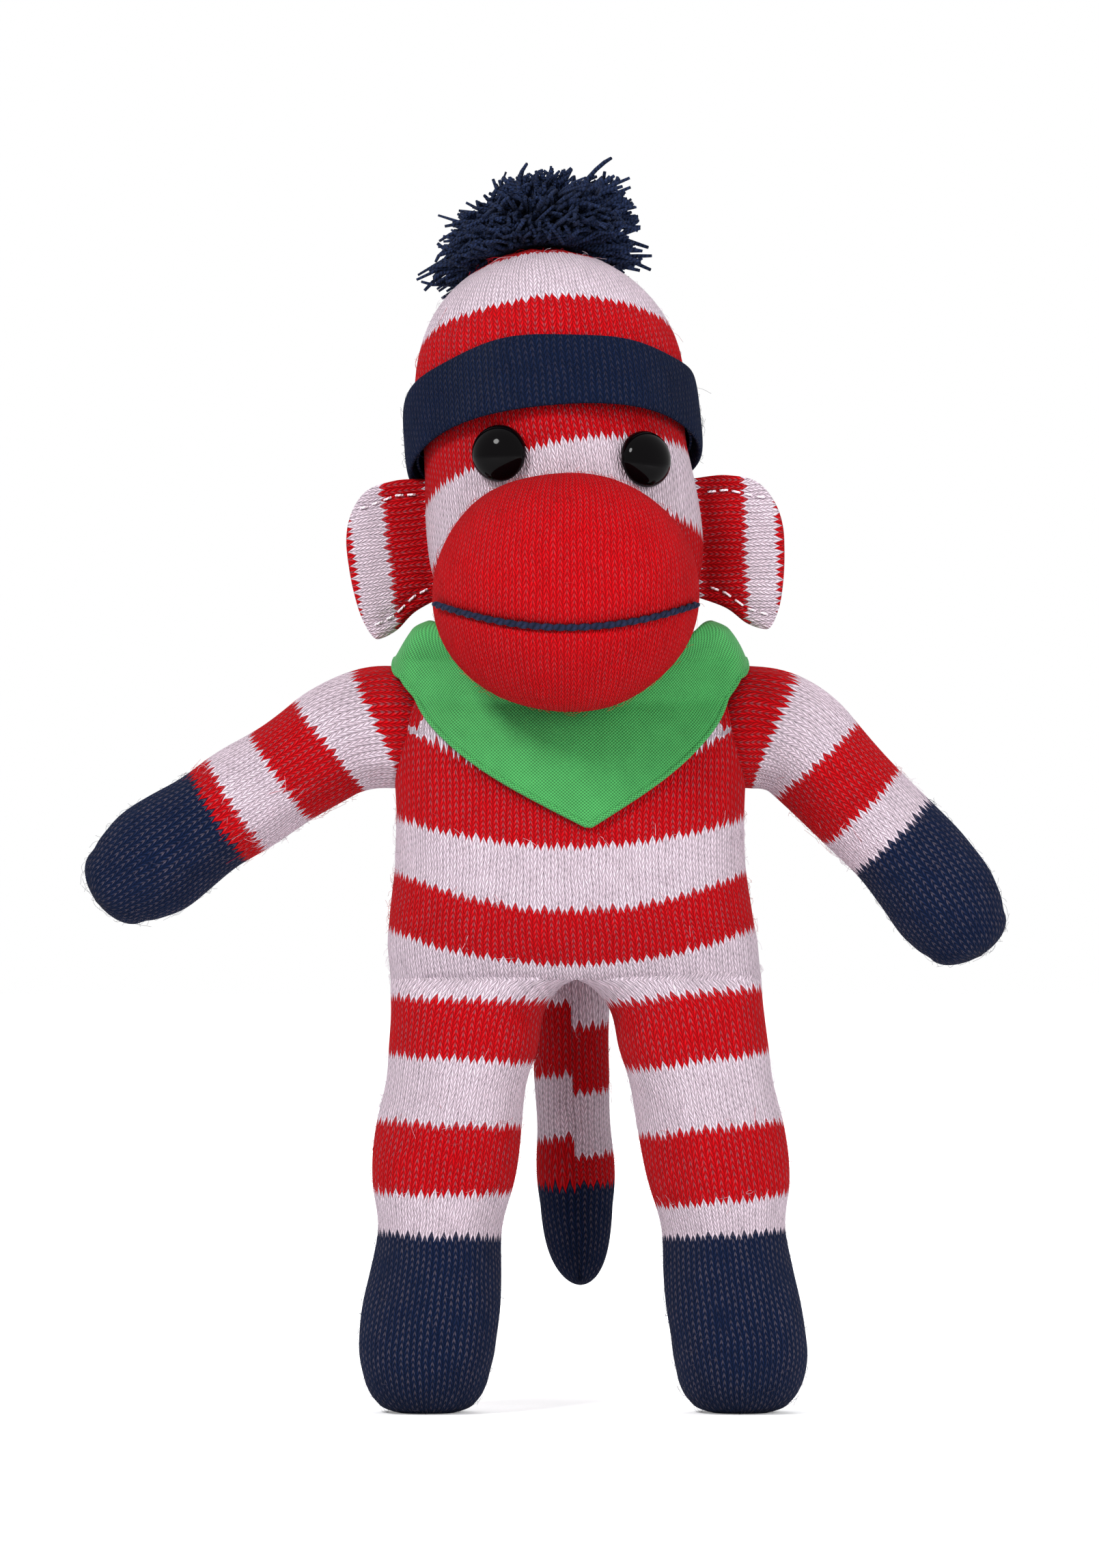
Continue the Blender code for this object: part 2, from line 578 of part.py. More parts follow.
def build_muzzle(carrier):
    """The stuffed muzzle, trimmed to the head, and the yarn mouth that lies across it."""
    back = np.linspace(-MUZZLE_BACK_TURN, 0, MUZZLE_BACK_RINGS + 1)[:-1]
    front = np.linspace(0, math.pi / 2, MUZZLE_FRONT_RINGS + 1)[:-1]
    rings = [muzzle_ring(turn) for turn in np.concatenate([back, front])]
    nose = muzzle_centre() - (0, MUZZLE_BULGE, 0)
    muzzle = piece("muzzle", skin("muzzle", rings, None, nose), "muzzle_knit", carrier)
    cut(muzzle, head_mesh("head_seat", GAP), carrier)

    stand = YARN_RADIUS + GAP
    centre = muzzle_centre()
    across = np.sin(np.linspace(-math.pi / 2, math.pi / 2, MOUTH_POINTS)) * MOUTH_REACH_SHARE
    down = MOUTH_DROP + MOUTH_SAG * (1 - across**2)
    wide, high = MUZZLE_WIDTH / 2 + stand, MUZZLE_HEIGHT / 2 + stand
    out = np.clip(np.hypot(across, down / high), 0, 1)
    turn = np.arccos(out ** (1 / MUZZLE_FULLNESS))
    points = np.stack([across * wide, -(MUZZLE_BULGE + stand) * np.sin(turn), -down], axis=1) + centre
    curve = bpy.data.curves.new("mouth_yarn", "CURVE")
    curve.dimensions = "3D"
    curve.bevel_depth = YARN_RADIUS
    curve.bevel_resolution = 1
    curve.use_fill_caps = True
    spline = curve.splines.new("POLY")
    spline.points.add(len(points) - 1)
    for point, place in zip(spline.points, points):
        point.co = (*place, 1)
    piece("mouth_yarn", curve, "navy_yarn", carrier)


def build_eye(head, carrier, tree, label, x, rise):
    """One safety eye: the domed button with its stem, and the washer that locks it inside the head."""
    height = head_centre(1.0)[2] + rise
    start = Vector((x, -HEAD_DEPTH, height))
    place, normal, _, _ = tree.ray_cast(start, Vector((0, 1, 0)))
    across = normal.orthogonal().normalized()
    along = normal.cross(across)
    seat = place + normal * GAP
    rings = []
    for radius, out in ((EYE_STEM_RADIUS, -EYE_STEM_LENGTH), (EYE_STEM_RADIUS, 0), (EYE_RADIUS - EYE_RIM, 0)):
        rings.append(ring(seat + normal * out, radius, radius, EYE_SIDES, 2, across, along))
    for turn in np.linspace(0, math.pi / 2, EYE_RINGS + 1)[:-1]:
        radius = EYE_RADIUS * math.cos(turn)
        out = EYE_RIM + (EYE_BULGE - EYE_RIM) * math.sin(turn)
        rings.append(ring(seat + normal * out, radius, radius, EYE_SIDES, 2, across, along))
    button = skin(f"eye_{label}", rings, None, seat + normal * EYE_BULGE)
    piece(f"eye_{label}", button, "black_plastic", carrier)

    rings = []
    bore = EYE_STEM_RADIUS + GAP
    low, high = WASHER_DEPTH + WASHER_THICKNESS, WASHER_DEPTH
    for radius, depth in ((WASHER_RADIUS, low), (WASHER_RADIUS, high), (bore, high), (bore, low)):
        rings.append(ring(place - normal * depth, radius, radius, EYE_SIDES, 2, across, along))
    piece(f"eye_washer_{label}", skin(f"eye_washer_{label}", rings, loop=True), "washer_plastic", carrier)

    hole = rod(f"stem_{label}", place + normal * OVERRUN, -normal, OVERRUN + EYE_STEM_LENGTH, bore)
    cut(head, hole, carrier)
    pocket_start = place - normal * (WASHER_DEPTH - GAP)
    pocket = rod(f"pocket_{label}", pocket_start, -normal, WASHER_THICKNESS + 2 * GAP, WASHER_RADIUS + GAP)
    cut(head, pocket, carrier)


def ear_root(tree, side, drop):
    """The line on the head's side that an ear is sewn along: its middle and its upward direction."""
    middle = head_centre(1.0)[2] - drop
    reach = EAR_HEIGHT * (EAR_OUTLINE_UP_SHARES[0] - EAR_OUTLINE_UP_SHARES[-1]) / 2
    offset = EAR_HEIGHT * (EAR_OUTLINE_UP_SHARES[0] + EAR_OUTLINE_UP_SHARES[-1]) / 2
    points = []
    for level in np.linspace(-1, 1, 9):
        start = Vector((side * HEAD_WIDTH, EAR_BACK, middle + offset + reach * level))
        points.append(tree.ray_cast(start, Vector((-side, 0, 0)))[0])
    up = (points[-1] - points[0]).normalized()
    out = Vector((side * up.z, 0, -side * up.x))
    proud = max((point - points[0]).dot(out) for point in points)
    base = points[0] + out * (proud + GAP)
    return base + up * (reach - offset), up, out


def build_ear(head_carrier, tree, side, label, drop):
    """One padded ear flap, which folds about the line where it is sewn to the head."""
    place, up, out = ear_root(tree, side, drop)
    carrier = empty(f"ear_{label}_root", place, head_carrier)
    carrier["axis"] = tuple(up)
    steps = np.linspace(0, 1, len(EAR_OUTLINE_OUT_SHARES))
    at = np.linspace(0, 1, EAR_SIDES)
    outward = curve_through(steps, EAR_OUTLINE_OUT_SHARES, at) * EAR_REACH
    upward = curve_through(steps, EAR_OUTLINE_UP_SHARES, at) * EAR_HEIGHT
    upward = upward - EAR_DROOP * (outward / EAR_REACH)
    middle_out, middle_up = EAR_REACH * EAR_MIDDLE_SHARE, -EAR_DROOP * EAR_MIDDLE_SHARE
    back = np.array((0, 1, 0))
    rings = []
    for face in (-1, 1):
        scales = EAR_PUFF_SHARES[::-1] if face < 0 else EAR_PUFF_SHARES[1:]
        for scale in scales:
            u = middle_out + (outward - middle_out) * scale
            w = middle_up + (upward - middle_up) * scale
            taper = EAR_ROOT_SHARE + (1 - EAR_ROOT_SHARE) * np.sin(np.clip(u / (EAR_REACH / 2), 0, 1) * math.pi / 2)
            v = face * EAR_THICKNESS / 2 * math.sqrt(1 - scale**4) * taper
            points = np.asarray(place) + np.outer(u, out) + np.outer(w, up) + np.outer(v, back)
            rings.append(points)
    poles = []
    for face in (-1, 1):
        pole = Vector(place) + out * middle_out + up * middle_up
        poles.append(pole + Vector(back) * face * EAR_THICKNESS / 2)
    piece(f"ear_{label}", skin(f"ear_{label}", rings, *poles), "red_knit", carrier)


def bandana_section(turn):
    """The bandana's cross-section at a turn round the neck, 0 at the front: its wall from top edge to hem."""
    top = HIP_HEIGHT + TORSO_HEIGHT
    side = math.sin(turn) ** 2
    behind = max(0, -math.cos(turn))
    upper = BANDANA_FRONT_RISE + (BANDANA_COLLAR_RISE - BANDANA_FRONT_RISE) * side
    upper = upper + (BANDANA_BACK_RISE - BANDANA_FRONT_RISE) * behind**2
    across = math.copysign(abs(math.sin(turn)) ** (2 / TORSO_SQUARENESS), math.sin(turn))
    x = across * BANDANA_WIDTH / 2
    run = abs(x - BANDANA_POINT_X) / (BANDANA_WIDTH / 2)
    lower = -BANDANA_POINT_DROP + (BANDANA_POINT_DROP - BANDANA_SIDE_DROP) * min(1, run)
    if math.cos(turn) < 0:
        lower = -BANDANA_SIDE_DROP - (BANDANA_BACK_DROP - BANDANA_SIDE_DROP) * behind
    reach = BANDANA_COLLAR_RISE if math.cos(turn) > 0 else upper
    outer, inner = [], []
    for share in np.linspace(0, 1, BANDANA_ROWS):
        level = upper + (lower - upper) * share
        rise = np.clip(level / reach, 0, 1)
        _, torso_width, torso_depth = torso_at(min(1, 1 + min(0, level) / TORSO_HEIGHT))
        half_width = BANDANA_WIDTH / 2 + (BANDANA_COLLAR_WIDTH - BANDANA_WIDTH) / 2 * rise
        half_width = max(torso_width + BANDANA_STAND_OFF + BANDANA_FOLD, half_width)
        collar = BANDANA_NECK_DEPTH / 2 + (BANDANA_COLLAR_DEPTH - BANDANA_NECK_DEPTH) / 2 * rise
        half_depth = max(torso_depth + BANDANA_STAND_OFF + BANDANA_FOLD, collar)
        fold = BANDANA_FOLD * math.sin(BANDANA_FOLDS * turn) * share
        for wall, row in ((BANDANA_WALL / 2, outer), (-BANDANA_WALL / 2, inner)):
            u = half_width + wall + fold * abs(across)
            v = half_depth + wall + fold
            depth = math.copysign(abs(math.cos(turn)) ** (2 / TORSO_SQUARENESS), math.cos(turn))
            row.append((across * u, -depth * v, top + level))
    return outer + inner[::-1]


def build_bandana(root):
    """The folded bandana: a collar round the neck whose front hangs down the chest to a point."""
    turns = 2 * math.pi * np.arange(BANDANA_SIDES) / BANDANA_SIDES
    rings = [bandana_section(turn) for turn in turns]
    return piece("bandana", skin("bandana", rings, loop=True), "green_mesh", root)


def tail_section(level_share):
    """A ring of the tail at a share of its spine: a quarter bend out of the seat, then straight down."""
    seat = tail_seat()
    bend = TAIL_BEND * math.pi / 2
    length = bend + TAIL_DROP
    run = level_share * length
    girth = curve_through(TAIL_LEVEL_SHARES, TAIL_GIRTH_SHARES, level_share)
    if level_share > TAIL_LEVEL_SHARES[-4]:
        reach = (level_share - TAIL_LEVEL_SHARES[-4]) / (1 - TAIL_LEVEL_SHARES[-4])
        girth = TAIL_GIRTH_SHARES[-4] * math.sqrt(max(0, 1 - reach**2))
    turn = min(run / TAIL_BEND, math.pi / 2)
    centre = seat + (0, TAIL_BEND * math.sin(turn), -TAIL_BEND * (1 - math.cos(turn)))
    centre = centre + (TAIL_SWAY * level_share**2, 0, -max(0, run - bend))
    thin = (0, math.sin(turn), math.cos(turn))
    return ring(centre, girth * TAIL_WIDTH / 2, girth * TAIL_DEPTH / 2, LIMB_SIDES, 2, (1, 0, 0), thin), centre


def tail_seat():
    """The middle of the tail's flat root, just behind the deepest part of the torso's back near it."""
    low, high = (TAIL_SEAT_HEIGHT + side * TAIL_DEPTH / 2 for side in (-1, 1))
    levels = np.clip(np.linspace(low, high, 7) / TORSO_HEIGHT, 0, 1)
    back = max(torso_at(level)[2] for level in levels)
    return np.array((0, back + GAP, HIP_HEIGHT + TAIL_SEAT_HEIGHT))


def build_tail(root):
    """The tail and its plain end, which lift together about the top of the tail's root."""
    hinge = tail_seat() + (0, 0, TAIL_DEPTH * TAIL_GIRTH_SHARES[0] / 2)
    carrier = empty("tail_root", hinge, root)
    length = TAIL_BEND * math.pi / 2 + TAIL_DROP
    split = 1 - TAIL_TIP_LENGTH / length
    rings = [tail_section(share)[0] for share in np.linspace(0, split, TAIL_RINGS)]
    piece("tail", skin("tail", rings), "red_knit", carrier)
    start = split + GAP / length
    turns = np.linspace(0, math.pi / 2, TAIL_TIP_RINGS + 1)[:-1]
    rings = [tail_section(start + (1 - start) * math.sin(turn))[0] for turn in turns]
    piece("tail_tip", skin("tail_tip", rings, None, tail_section(1.0)[1]), "navy_knit", carrier)


def centre_over_origin(root):
    """Moves the doll so that the middle of its bounding box stands over the origin, with its soles at z = 0."""
    bpy.context.view_layer.update()
    graph = bpy.context.evaluated_depsgraph_get()
    corners = []
    for obj in bpy.context.view_layer.objects:
        if obj.type in ("MESH", "CURVE") and not obj.hide_render:
            solid = obj.evaluated_get(graph)
            corners += [solid.matrix_world @ point.co for point in solid.to_mesh().vertices]
            solid.to_mesh_clear()
    corners = np.array(corners)
    low, high = corners.min(axis=0), corners.max(axis=0)
    root.location = (-(low[0] + high[0]) / 2, -(low[1] + high[1]) / 2, -low[2])


def main():
    """Clears the scene and builds the doll."""
    for obj in list(bpy.data.objects):
        bpy.data.objects.remove(obj, do_unlink=True)
    root = empty("doll", (0, 0, 0))
    build_torso(root)
    build_arm(root, -1, "left", ARM_LENGTH_LEFT, ARM_DROOP_LEFT, ARM_BEND_LEFT)
    build_arm(root, 1, "right", ARM_LENGTH_RIGHT, ARM_DROOP_RIGHT, ARM_BEND_RIGHT)
    build_leg(root, "left", HIP_X_LEFT, FOOT_X_LEFT)
    build_leg(root, "right", HIP_X_RIGHT, FOOT_X_RIGHT)
    build_tail(root)
    build_bandana(root)
    head, neck, tree = build_head(root)
    build_hat(neck)
    build_muzzle(neck)
    build_eye(head, neck, tree, "left", EYE_X_LEFT, EYE_RISE_LEFT)
    build_eye(head, neck, tree, "right", EYE_X_RIGHT, EYE_RISE_RIGHT)
    build_ear(neck, tree, -1, "left", EAR_DROP_LEFT)
    build_ear(neck, tree, 1, "right", EAR_DROP_RIGHT)
    centre_over_origin(root)


main()
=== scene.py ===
"""Sock monkey doll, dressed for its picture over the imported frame.

The doll's knitted, stuffed pieces, its yarn, its safety eyes and its mesh bandana are made here as worked-out
surfaces, in metres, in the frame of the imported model. Sizes are given about the doll's own middle line, with
left at -X, the face towards -Y and the soles at z = 0, and `to_frame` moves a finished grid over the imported
solids. Cloth coordinates are counted in stitches: wales across, courses along.
"""

import json
import logging
import math
from dataclasses import dataclass
from enum import Enum

import bpy
import numpy as np
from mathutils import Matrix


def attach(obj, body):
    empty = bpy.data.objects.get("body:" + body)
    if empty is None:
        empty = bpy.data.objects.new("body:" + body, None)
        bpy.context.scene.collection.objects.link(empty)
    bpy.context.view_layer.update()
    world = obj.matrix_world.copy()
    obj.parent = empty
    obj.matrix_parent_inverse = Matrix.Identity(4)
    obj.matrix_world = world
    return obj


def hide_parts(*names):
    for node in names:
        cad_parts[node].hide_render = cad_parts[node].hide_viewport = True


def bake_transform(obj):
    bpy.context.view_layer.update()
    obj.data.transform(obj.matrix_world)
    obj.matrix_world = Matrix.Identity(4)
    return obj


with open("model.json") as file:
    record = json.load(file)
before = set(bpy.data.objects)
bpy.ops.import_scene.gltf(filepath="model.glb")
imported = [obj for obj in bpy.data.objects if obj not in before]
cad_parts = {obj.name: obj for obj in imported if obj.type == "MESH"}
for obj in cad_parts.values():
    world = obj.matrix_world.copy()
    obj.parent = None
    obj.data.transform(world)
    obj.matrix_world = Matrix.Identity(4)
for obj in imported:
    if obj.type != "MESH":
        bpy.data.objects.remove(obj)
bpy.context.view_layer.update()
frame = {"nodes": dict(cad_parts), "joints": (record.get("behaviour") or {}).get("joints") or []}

LOG = logging.getLogger("sock_monkey")

WALE = 0.00118
COURSE = 0.00115
NECK_ABOUT_MIDDLE = (0.0, 0.0010, 0.1340)
HIP_HEIGHT = 0.0750
TORSO_HEIGHT = 0.0550


class Yarn(Enum):
    """The colours that the doll is knitted and trimmed in, as sRGB hex values."""

    RED = "#c70611"
    WHITE = "#e8d4e1"
    NAVY = "#101e3d"
    DARK_NAVY = "#090e1c"
    GREEN = "#49ad5a"
    # Painted shade for the mesh's low parts and pin holes.
    DEEP_GREEN = "#144f20"


class Slot(Enum):
    """The record's material slots."""

    RED_KNIT = "red_knit"
    WHITE_KNIT = "white_knit"
    NAVY_KNIT = "navy_knit"
    MUZZLE_KNIT = "muzzle_knit"
    NAVY_YARN = "navy_yarn"
    GREEN_MESH = "green_mesh"
    BLACK_PLASTIC = "black_plastic"


# ---------------------------------------------------------------- colours and nodes


def linear(colour: str) -> tuple[float, float, float, float]:
    """Turns an sRGB hex colour to linear light.

    Args:
        colour: The colour as #rrggbb.

    Returns:
        Red, green, blue and an alpha of 1.
    """
    parts = [int(colour[i : i + 2], 16) / 255 for i in (1, 3, 5)]
    light = [c / 12.92 if c <= 0.04045 else ((c + 0.055) / 1.055) ** 2.4 for c in parts]
    return (*light, 1.0)


def add(tree: bpy.types.NodeTree, kind: str, settings: dict | None = None, links: dict | None = None) -> bpy.types.Node:
    """Adds one node.

    Args:
        tree: The node tree it goes into.
        kind: The node's type name.
        settings: Its properties by name, and its sockets' values by number or socket name.
        links: The output socket that each numbered or named input is fed from.

    Returns:
        The new node.
    """
    made = tree.nodes.new(kind)
    for name, value in (settings or {}).items():
        if isinstance(name, int) or name in made.inputs:
            made.inputs[name].default_value = value
        else:
            setattr(made, name, value)
    for name, source in (links or {}).items():
        tree.links.new(source, made.inputs[name])
    return made


def sums(tree: bpy.types.NodeTree, operation: str, *terms: object) -> bpy.types.NodeSocket:
    """Adds one Math node whose terms are sockets or plain numbers, and returns its output."""
    plain = {i: float(term) for i, term in enumerate(terms) if isinstance(term, (int, float))}
    linked = {i: term for i, term in enumerate(terms) if not isinstance(term, (int, float))}
    return add(tree, "ShaderNodeMath", {"operation": operation, **plain}, linked).outputs[0]


def new_material(name: str) -> tuple[bpy.types.Material, bpy.types.NodeTree, bpy.types.Node]:
    """Starts a material.

    Args:
        name: What the material is in the real thing.

    Returns:
        The material, its node tree and its surface shader.
    """
    material = bpy.data.materials.new(name)
    material.use_nodes = True
    tree = material.node_tree
    return material, tree, tree.nodes["Principled BSDF"]


@dataclass(frozen=True)
class Knit:
    """Plain stockinette knit in acrylic yarn: rows of V stitches, matte and faintly hairy, with the filling showing
    through its open loops, dimmed there by painted shade, and painted shade in the gaps between stitches. Each stripe
    begins at a whole course, so its edge is a row of small teeth."""

    name: str
    stripes: tuple[tuple[float, Yarn], ...]
    courses: float
    relief: float = 0.00048
    open_loops: float = 0.62
    slant: float = 2.1

    def build(self) -> bpy.types.Material:
        """Makes the material from its stripes.

        Returns:
            The finished material.
        """
        material, tree, shader = new_material(self.name)
        place = add(tree, "ShaderNodeTexCoord").outputs["Object"]
        cloth = add(tree, "ShaderNodeUVMap", {"uv_map": "cloth"}).outputs[0]
        # Uneven hand tension moves the stitches about by a fifth of a stitch, over about 5 mm.
        drift = add(tree, "ShaderNodeTexNoise", {"Scale": 210.0, "Detail": 1.0}, {"Vector": place}).outputs["Color"]
        split = add(tree, "ShaderNodeSeparateColor", links={0: drift})
        axes = add(tree, "ShaderNodeSeparateXYZ", links={0: cloth})
        wale = sums(tree, "MULTIPLY_ADD", split.outputs[0], 0.7, axes.outputs[0])
        course = sums(tree, "MULTIPLY_ADD", split.outputs[1], 0.8, axes.outputs[1])
        # From the middle of a V to its side, then the height along the V's slanting leg.
        side = sums(tree, "ABSOLUTE", sums(tree, "SUBTRACT", sums(tree, "FRACT", wale), 0.5))
        step = sums(tree, "MULTIPLY", sums(tree, "MODULO", sums(tree, "FLOOR", wale), 2.0), 0.5)
        leg = sums(tree, "ADD", sums(tree, "MULTIPLY_ADD", side, -self.slant, course), step)
        along = sums(tree, "ABSOLUTE", sums(tree, "SINE", sums(tree, "MULTIPLY", leg, math.pi)))
        across = sums(tree, "ABSOLUTE", sums(tree, "SINE", sums(tree, "MULTIPLY", side, 2 * math.pi)))
        bead = sums(tree, "POWER", sums(tree, "MULTIPLY", along, across), 0.6)
        # Fibres about 0.15 mm apart break up the yarn.
        fibre = add(tree, "ShaderNodeTexNoise", {"Scale": 5200.0, "Detail": 2.0}, {"Vector": place}).outputs["Fac"]
        height = sums(tree, "MULTIPLY_ADD", fibre, 0.45, bead)
        bump = add(tree, "ShaderNodeBump", {"Strength": 1.0, "Distance": self.relief}, {"Height": height})
        tree.links.new(bump.outputs[0], shader.inputs["Normal"])
        # The stripe of the course that this stitch belongs to.
        number = sums(tree, "DIVIDE", sums(tree, "ADD", sums(tree, "FLOOR", leg), 0.5), self.courses)
        ramp = add(tree, "ShaderNodeValToRGB", links={0: number})
        ramp.color_ramp.interpolation = "CONSTANT"
        stops = ramp.color_ramp.elements
        stops[0].position, stops[0].color = 0.0, linear(self.stripes[0][1].value)
        stops.remove(stops[1])
        for start, yarn in self.stripes[1:]:
            stops.new(start / self.courses).color = linear(yarn.value)
        # Loops that the filling shows through, in uneven patches.
        tall = sums(tree, "MULTIPLY", sums(tree, "POWER", along, 4.0), 1.5)
        loop = sums(tree, "MULTIPLY", sums(tree, "MULTIPLY_ADD", side, -4.2, 1.05), tall)
        patch = add(tree, "ShaderNodeTexNoise", {"Scale": 330.0, "Detail": 2.0}, {"Vector": place}).outputs["Fac"]
        shown = sums(tree, "MULTIPLY", sums(tree, "SUBTRACT", patch, 0.22), 3.6)
        amount = sums(tree, "MULTIPLY", sums(tree, "MAXIMUM", loop, 0.0), sums(tree, "MAXIMUM", shown, 0.0))
        amount = sums(tree, "MINIMUM", sums(tree, "MULTIPLY", amount, self.open_loops), self.open_loops)
        # The filling is real, but its dimness is painted shade inside the holes: a little of the yarn's colour over a
        # dim grey.
        filling = {"operation": "MULTIPLY_ADD", 1: (0.12, 0.12, 0.12), 2: (0.15, 0.12, 0.145)}
        filling_in_shade = add(tree, "ShaderNodeVectorMath", filling, {0: ramp.outputs[0]})
        ends = {0: amount, 6: ramp.outputs[0], 7: filling_in_shade.outputs[0]}
        through = add(tree, "ShaderNodeMix", {"data_type": "RGBA"}, ends)
        # Painted shade darkens the gaps between stitches, and the dye is a little uneven.
        gap_shade_and_dye = sums(tree, "MULTIPLY_ADD", bead, 0.38, 0.70)
        dye = add(tree, "ShaderNodeTexNoise", {"Scale": 900.0, "Detail": 3.0}, {"Vector": place}).outputs["Fac"]
        gap_shade_and_dye = sums(tree, "MULTIPLY", gap_shade_and_dye, sums(tree, "MULTIPLY_ADD", dye, 0.30, 0.86))
        shade = add(tree, "ShaderNodeVectorMath", {"operation": "SCALE"}, {0: through.outputs[2], 3: gap_shade_and_dye})
        tree.links.new(shade.outputs[0], shader.inputs["Base Color"])
        shader.inputs["Roughness"].default_value = 0.88
        shader.inputs["Specular IOR Level"].default_value = 0.03
        shader.inputs["Sheen Weight"].default_value = 0.015
        return material


@dataclass(frozen=True)
class MeshCloth:
    """Fine warp-knit polyester mesh: raised dots 0.64 mm apart in rows of 0.27 mm, each row half a dot on from the
    last, so that they line up in two slanting directions, with pin holes between them. The low parts and pin holes
    between the dots are painted a darker green as shade."""

    name: str = "green_polyester_mesh"

    def build(self) -> bpy.types.Material:
        """Makes the material.

        Returns:
            The finished material.
        """
        material, tree, shader = new_material(self.name)
        place = add(tree, "ShaderNodeTexCoord").outputs["Object"]
        cloth = add(tree, "ShaderNodeUVMap", {"uv_map": "cloth"}).outputs[0]
        axes = add(tree, "ShaderNodeSeparateXYZ", links={0: cloth})
        # The dots are 0.5 + 0.5 cos(2 pi across) cos(pi row).
        across = sums(tree, "COSINE", sums(tree, "MULTIPLY", axes.outputs[0], 2 * math.pi))
        row = sums(tree, "COSINE", sums(tree, "MULTIPLY", axes.outputs[1], math.pi))
        weave = sums(tree, "MULTIPLY_ADD", sums(tree, "MULTIPLY", across, row), 0.5, 0.5)
        bump = add(tree, "ShaderNodeBump", {"Strength": 0.9, "Distance": 0.00012}, {"Height": weave})
        tree.links.new(bump.outputs[0], shader.inputs["Normal"])
        # Painted shade: the weave's low parts and pin holes take the darker green and the dots' tops the bright green,
        # with a mottle that varies the mix.
        mottle = add(tree, "ShaderNodeTexNoise", {"Scale": 240.0, "Detail": 3.0}, {"Vector": place}).outputs["Fac"]
        amount = sums(tree, "MAXIMUM", sums(tree, "MULTIPLY_ADD", mottle, 0.3, sums(tree, "ADD", weave, -0.15)), 0.0)
        ends = {"data_type": "RGBA", 6: linear(Yarn.DEEP_GREEN.value), 7: linear(Yarn.GREEN.value)}
        mix = add(tree, "ShaderNodeMix", ends, {0: sums(tree, "MINIMUM", amount, 1.0)})
        tree.links.new(mix.outputs[2], shader.inputs["Base Color"])
        shader.inputs["Roughness"].default_value = 0.62
        shader.inputs["Sheen Weight"].default_value = 0.05
        shader.inputs["Specular IOR Level"].default_value = 0.3
        return material


@dataclass(frozen=True)
class PlyYarn:
    """Loose acrylic yarn of two plies: matte, with a slanting twist, and a painted highlight in a lighter colour on the
    crowns of its plies and fibres, stronger in some patches.
    """

    name: str
    yarn: Yarn
    # The colour of the painted highlight on the plies' crowns.
    light: str
    twist: float = 1500.0

    def build(self) -> bpy.types.Material:
        """Makes the material.

        Returns:
            The finished material.
        """
        material, tree, shader = new_material(self.name)
        place = add(tree, "ShaderNodeTexCoord").outputs["Object"]
        cloth = add(tree, "ShaderNodeUVMap", {"uv_map": "cloth"}).outputs[0]
        axes = add(tree, "ShaderNodeSeparateXYZ", links={0: cloth})
        slant = sums(tree, "ADD", axes.outputs[0], sums(tree, "MULTIPLY", axes.outputs[1], self.twist))
        ply = sums(tree, "ABSOLUTE", sums(tree, "SINE", sums(tree, "MULTIPLY", slant, math.pi)))
        fibre = add(tree, "ShaderNodeTexNoise", {"Scale": 3800.0, "Detail": 2.0}, {"Vector": place}).outputs["Fac"]
        height = sums(tree, "MULTIPLY_ADD", fibre, 0.6, ply)
        bump = add(tree, "ShaderNodeBump", {"Strength": 0.8, "Distance": 0.0002}, {"Height": height})
        tree.links.new(bump.outputs[0], shader.inputs["Normal"])
        # Painted highlight: the crowns of the plies and fibres take the lighter colour, more in some broad patches than
        # in others.
        broad = add(tree, "ShaderNodeTexNoise", {"Scale": 420.0, "Detail": 3.0}, {"Vector": place}).outputs["Fac"]
        amount = sums(tree, "MULTIPLY", sums(tree, "MULTIPLY", height, 0.6), broad)
        ends = {"data_type": "RGBA", 6: linear(self.yarn.value), 7: linear(self.light)}
        mix = add(tree, "ShaderNodeMix", ends, {0: amount})
        tree.links.new(mix.outputs[2], shader.inputs["Base Color"])
        shader.inputs["Roughness"].default_value = 0.9
        shader.inputs["Specular IOR Level"].default_value = 0.12
        shader.inputs["Sheen Weight"].default_value = 0.02
        return material


@dataclass(frozen=True)
class Plastic:
    """Moulded plastic, from polished black for the safety eyes to dull natural nylon for their washers. Faint dust
    and moulding marks change its roughness."""

    name: str
    colour: str
    roughness: float
    shine: float

    def build(self) -> bpy.types.Material:
        """Makes the material.

        Returns:
            The finished material.
        """
        material, tree, shader = new_material(self.name)
        place = add(tree, "ShaderNodeTexCoord").outputs["Object"]
        marks = add(tree, "ShaderNodeTexNoise", {"Scale": 1400.0, "Detail": 3.0}, {"Vector": place}).outputs["Fac"]
        tree.links.new(sums(tree, "MULTIPLY_ADD", marks, 0.10, self.roughness), shader.inputs["Roughness"])
        bump = add(tree, "ShaderNodeBump", {"Strength": 0.05, "Distance": 0.00002}, {"Height": marks})
        tree.links.new(bump.outputs[0], shader.inputs["Normal"])
        shader.inputs["Base Color"].default_value = linear(self.colour)
        shader.inputs["IOR"].default_value = 1.49
        shader.inputs["Specular IOR Level"].default_value = 0.5 * self.shine
        return material


# ---------------------------------------------------------------- surfaces


def clamp(values: np.ndarray | float) -> np.ndarray:
    """Values held between 0 and 1."""
    return np.clip(values, 0, 1)


def joint_place(name: str) -> np.ndarray:
    """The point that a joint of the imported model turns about, in metres."""
    return np.array(next(joint["pos_m"] for joint in frame["joints"] if joint["name"] == name), float)


MIDDLE = joint_place("head_nod") - np.array(NECK_ABOUT_MIDDLE)


def to_frame(points: np.ndarray) -> np.ndarray:
    """Moves points from the doll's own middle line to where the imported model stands."""
    return points + MIDDLE


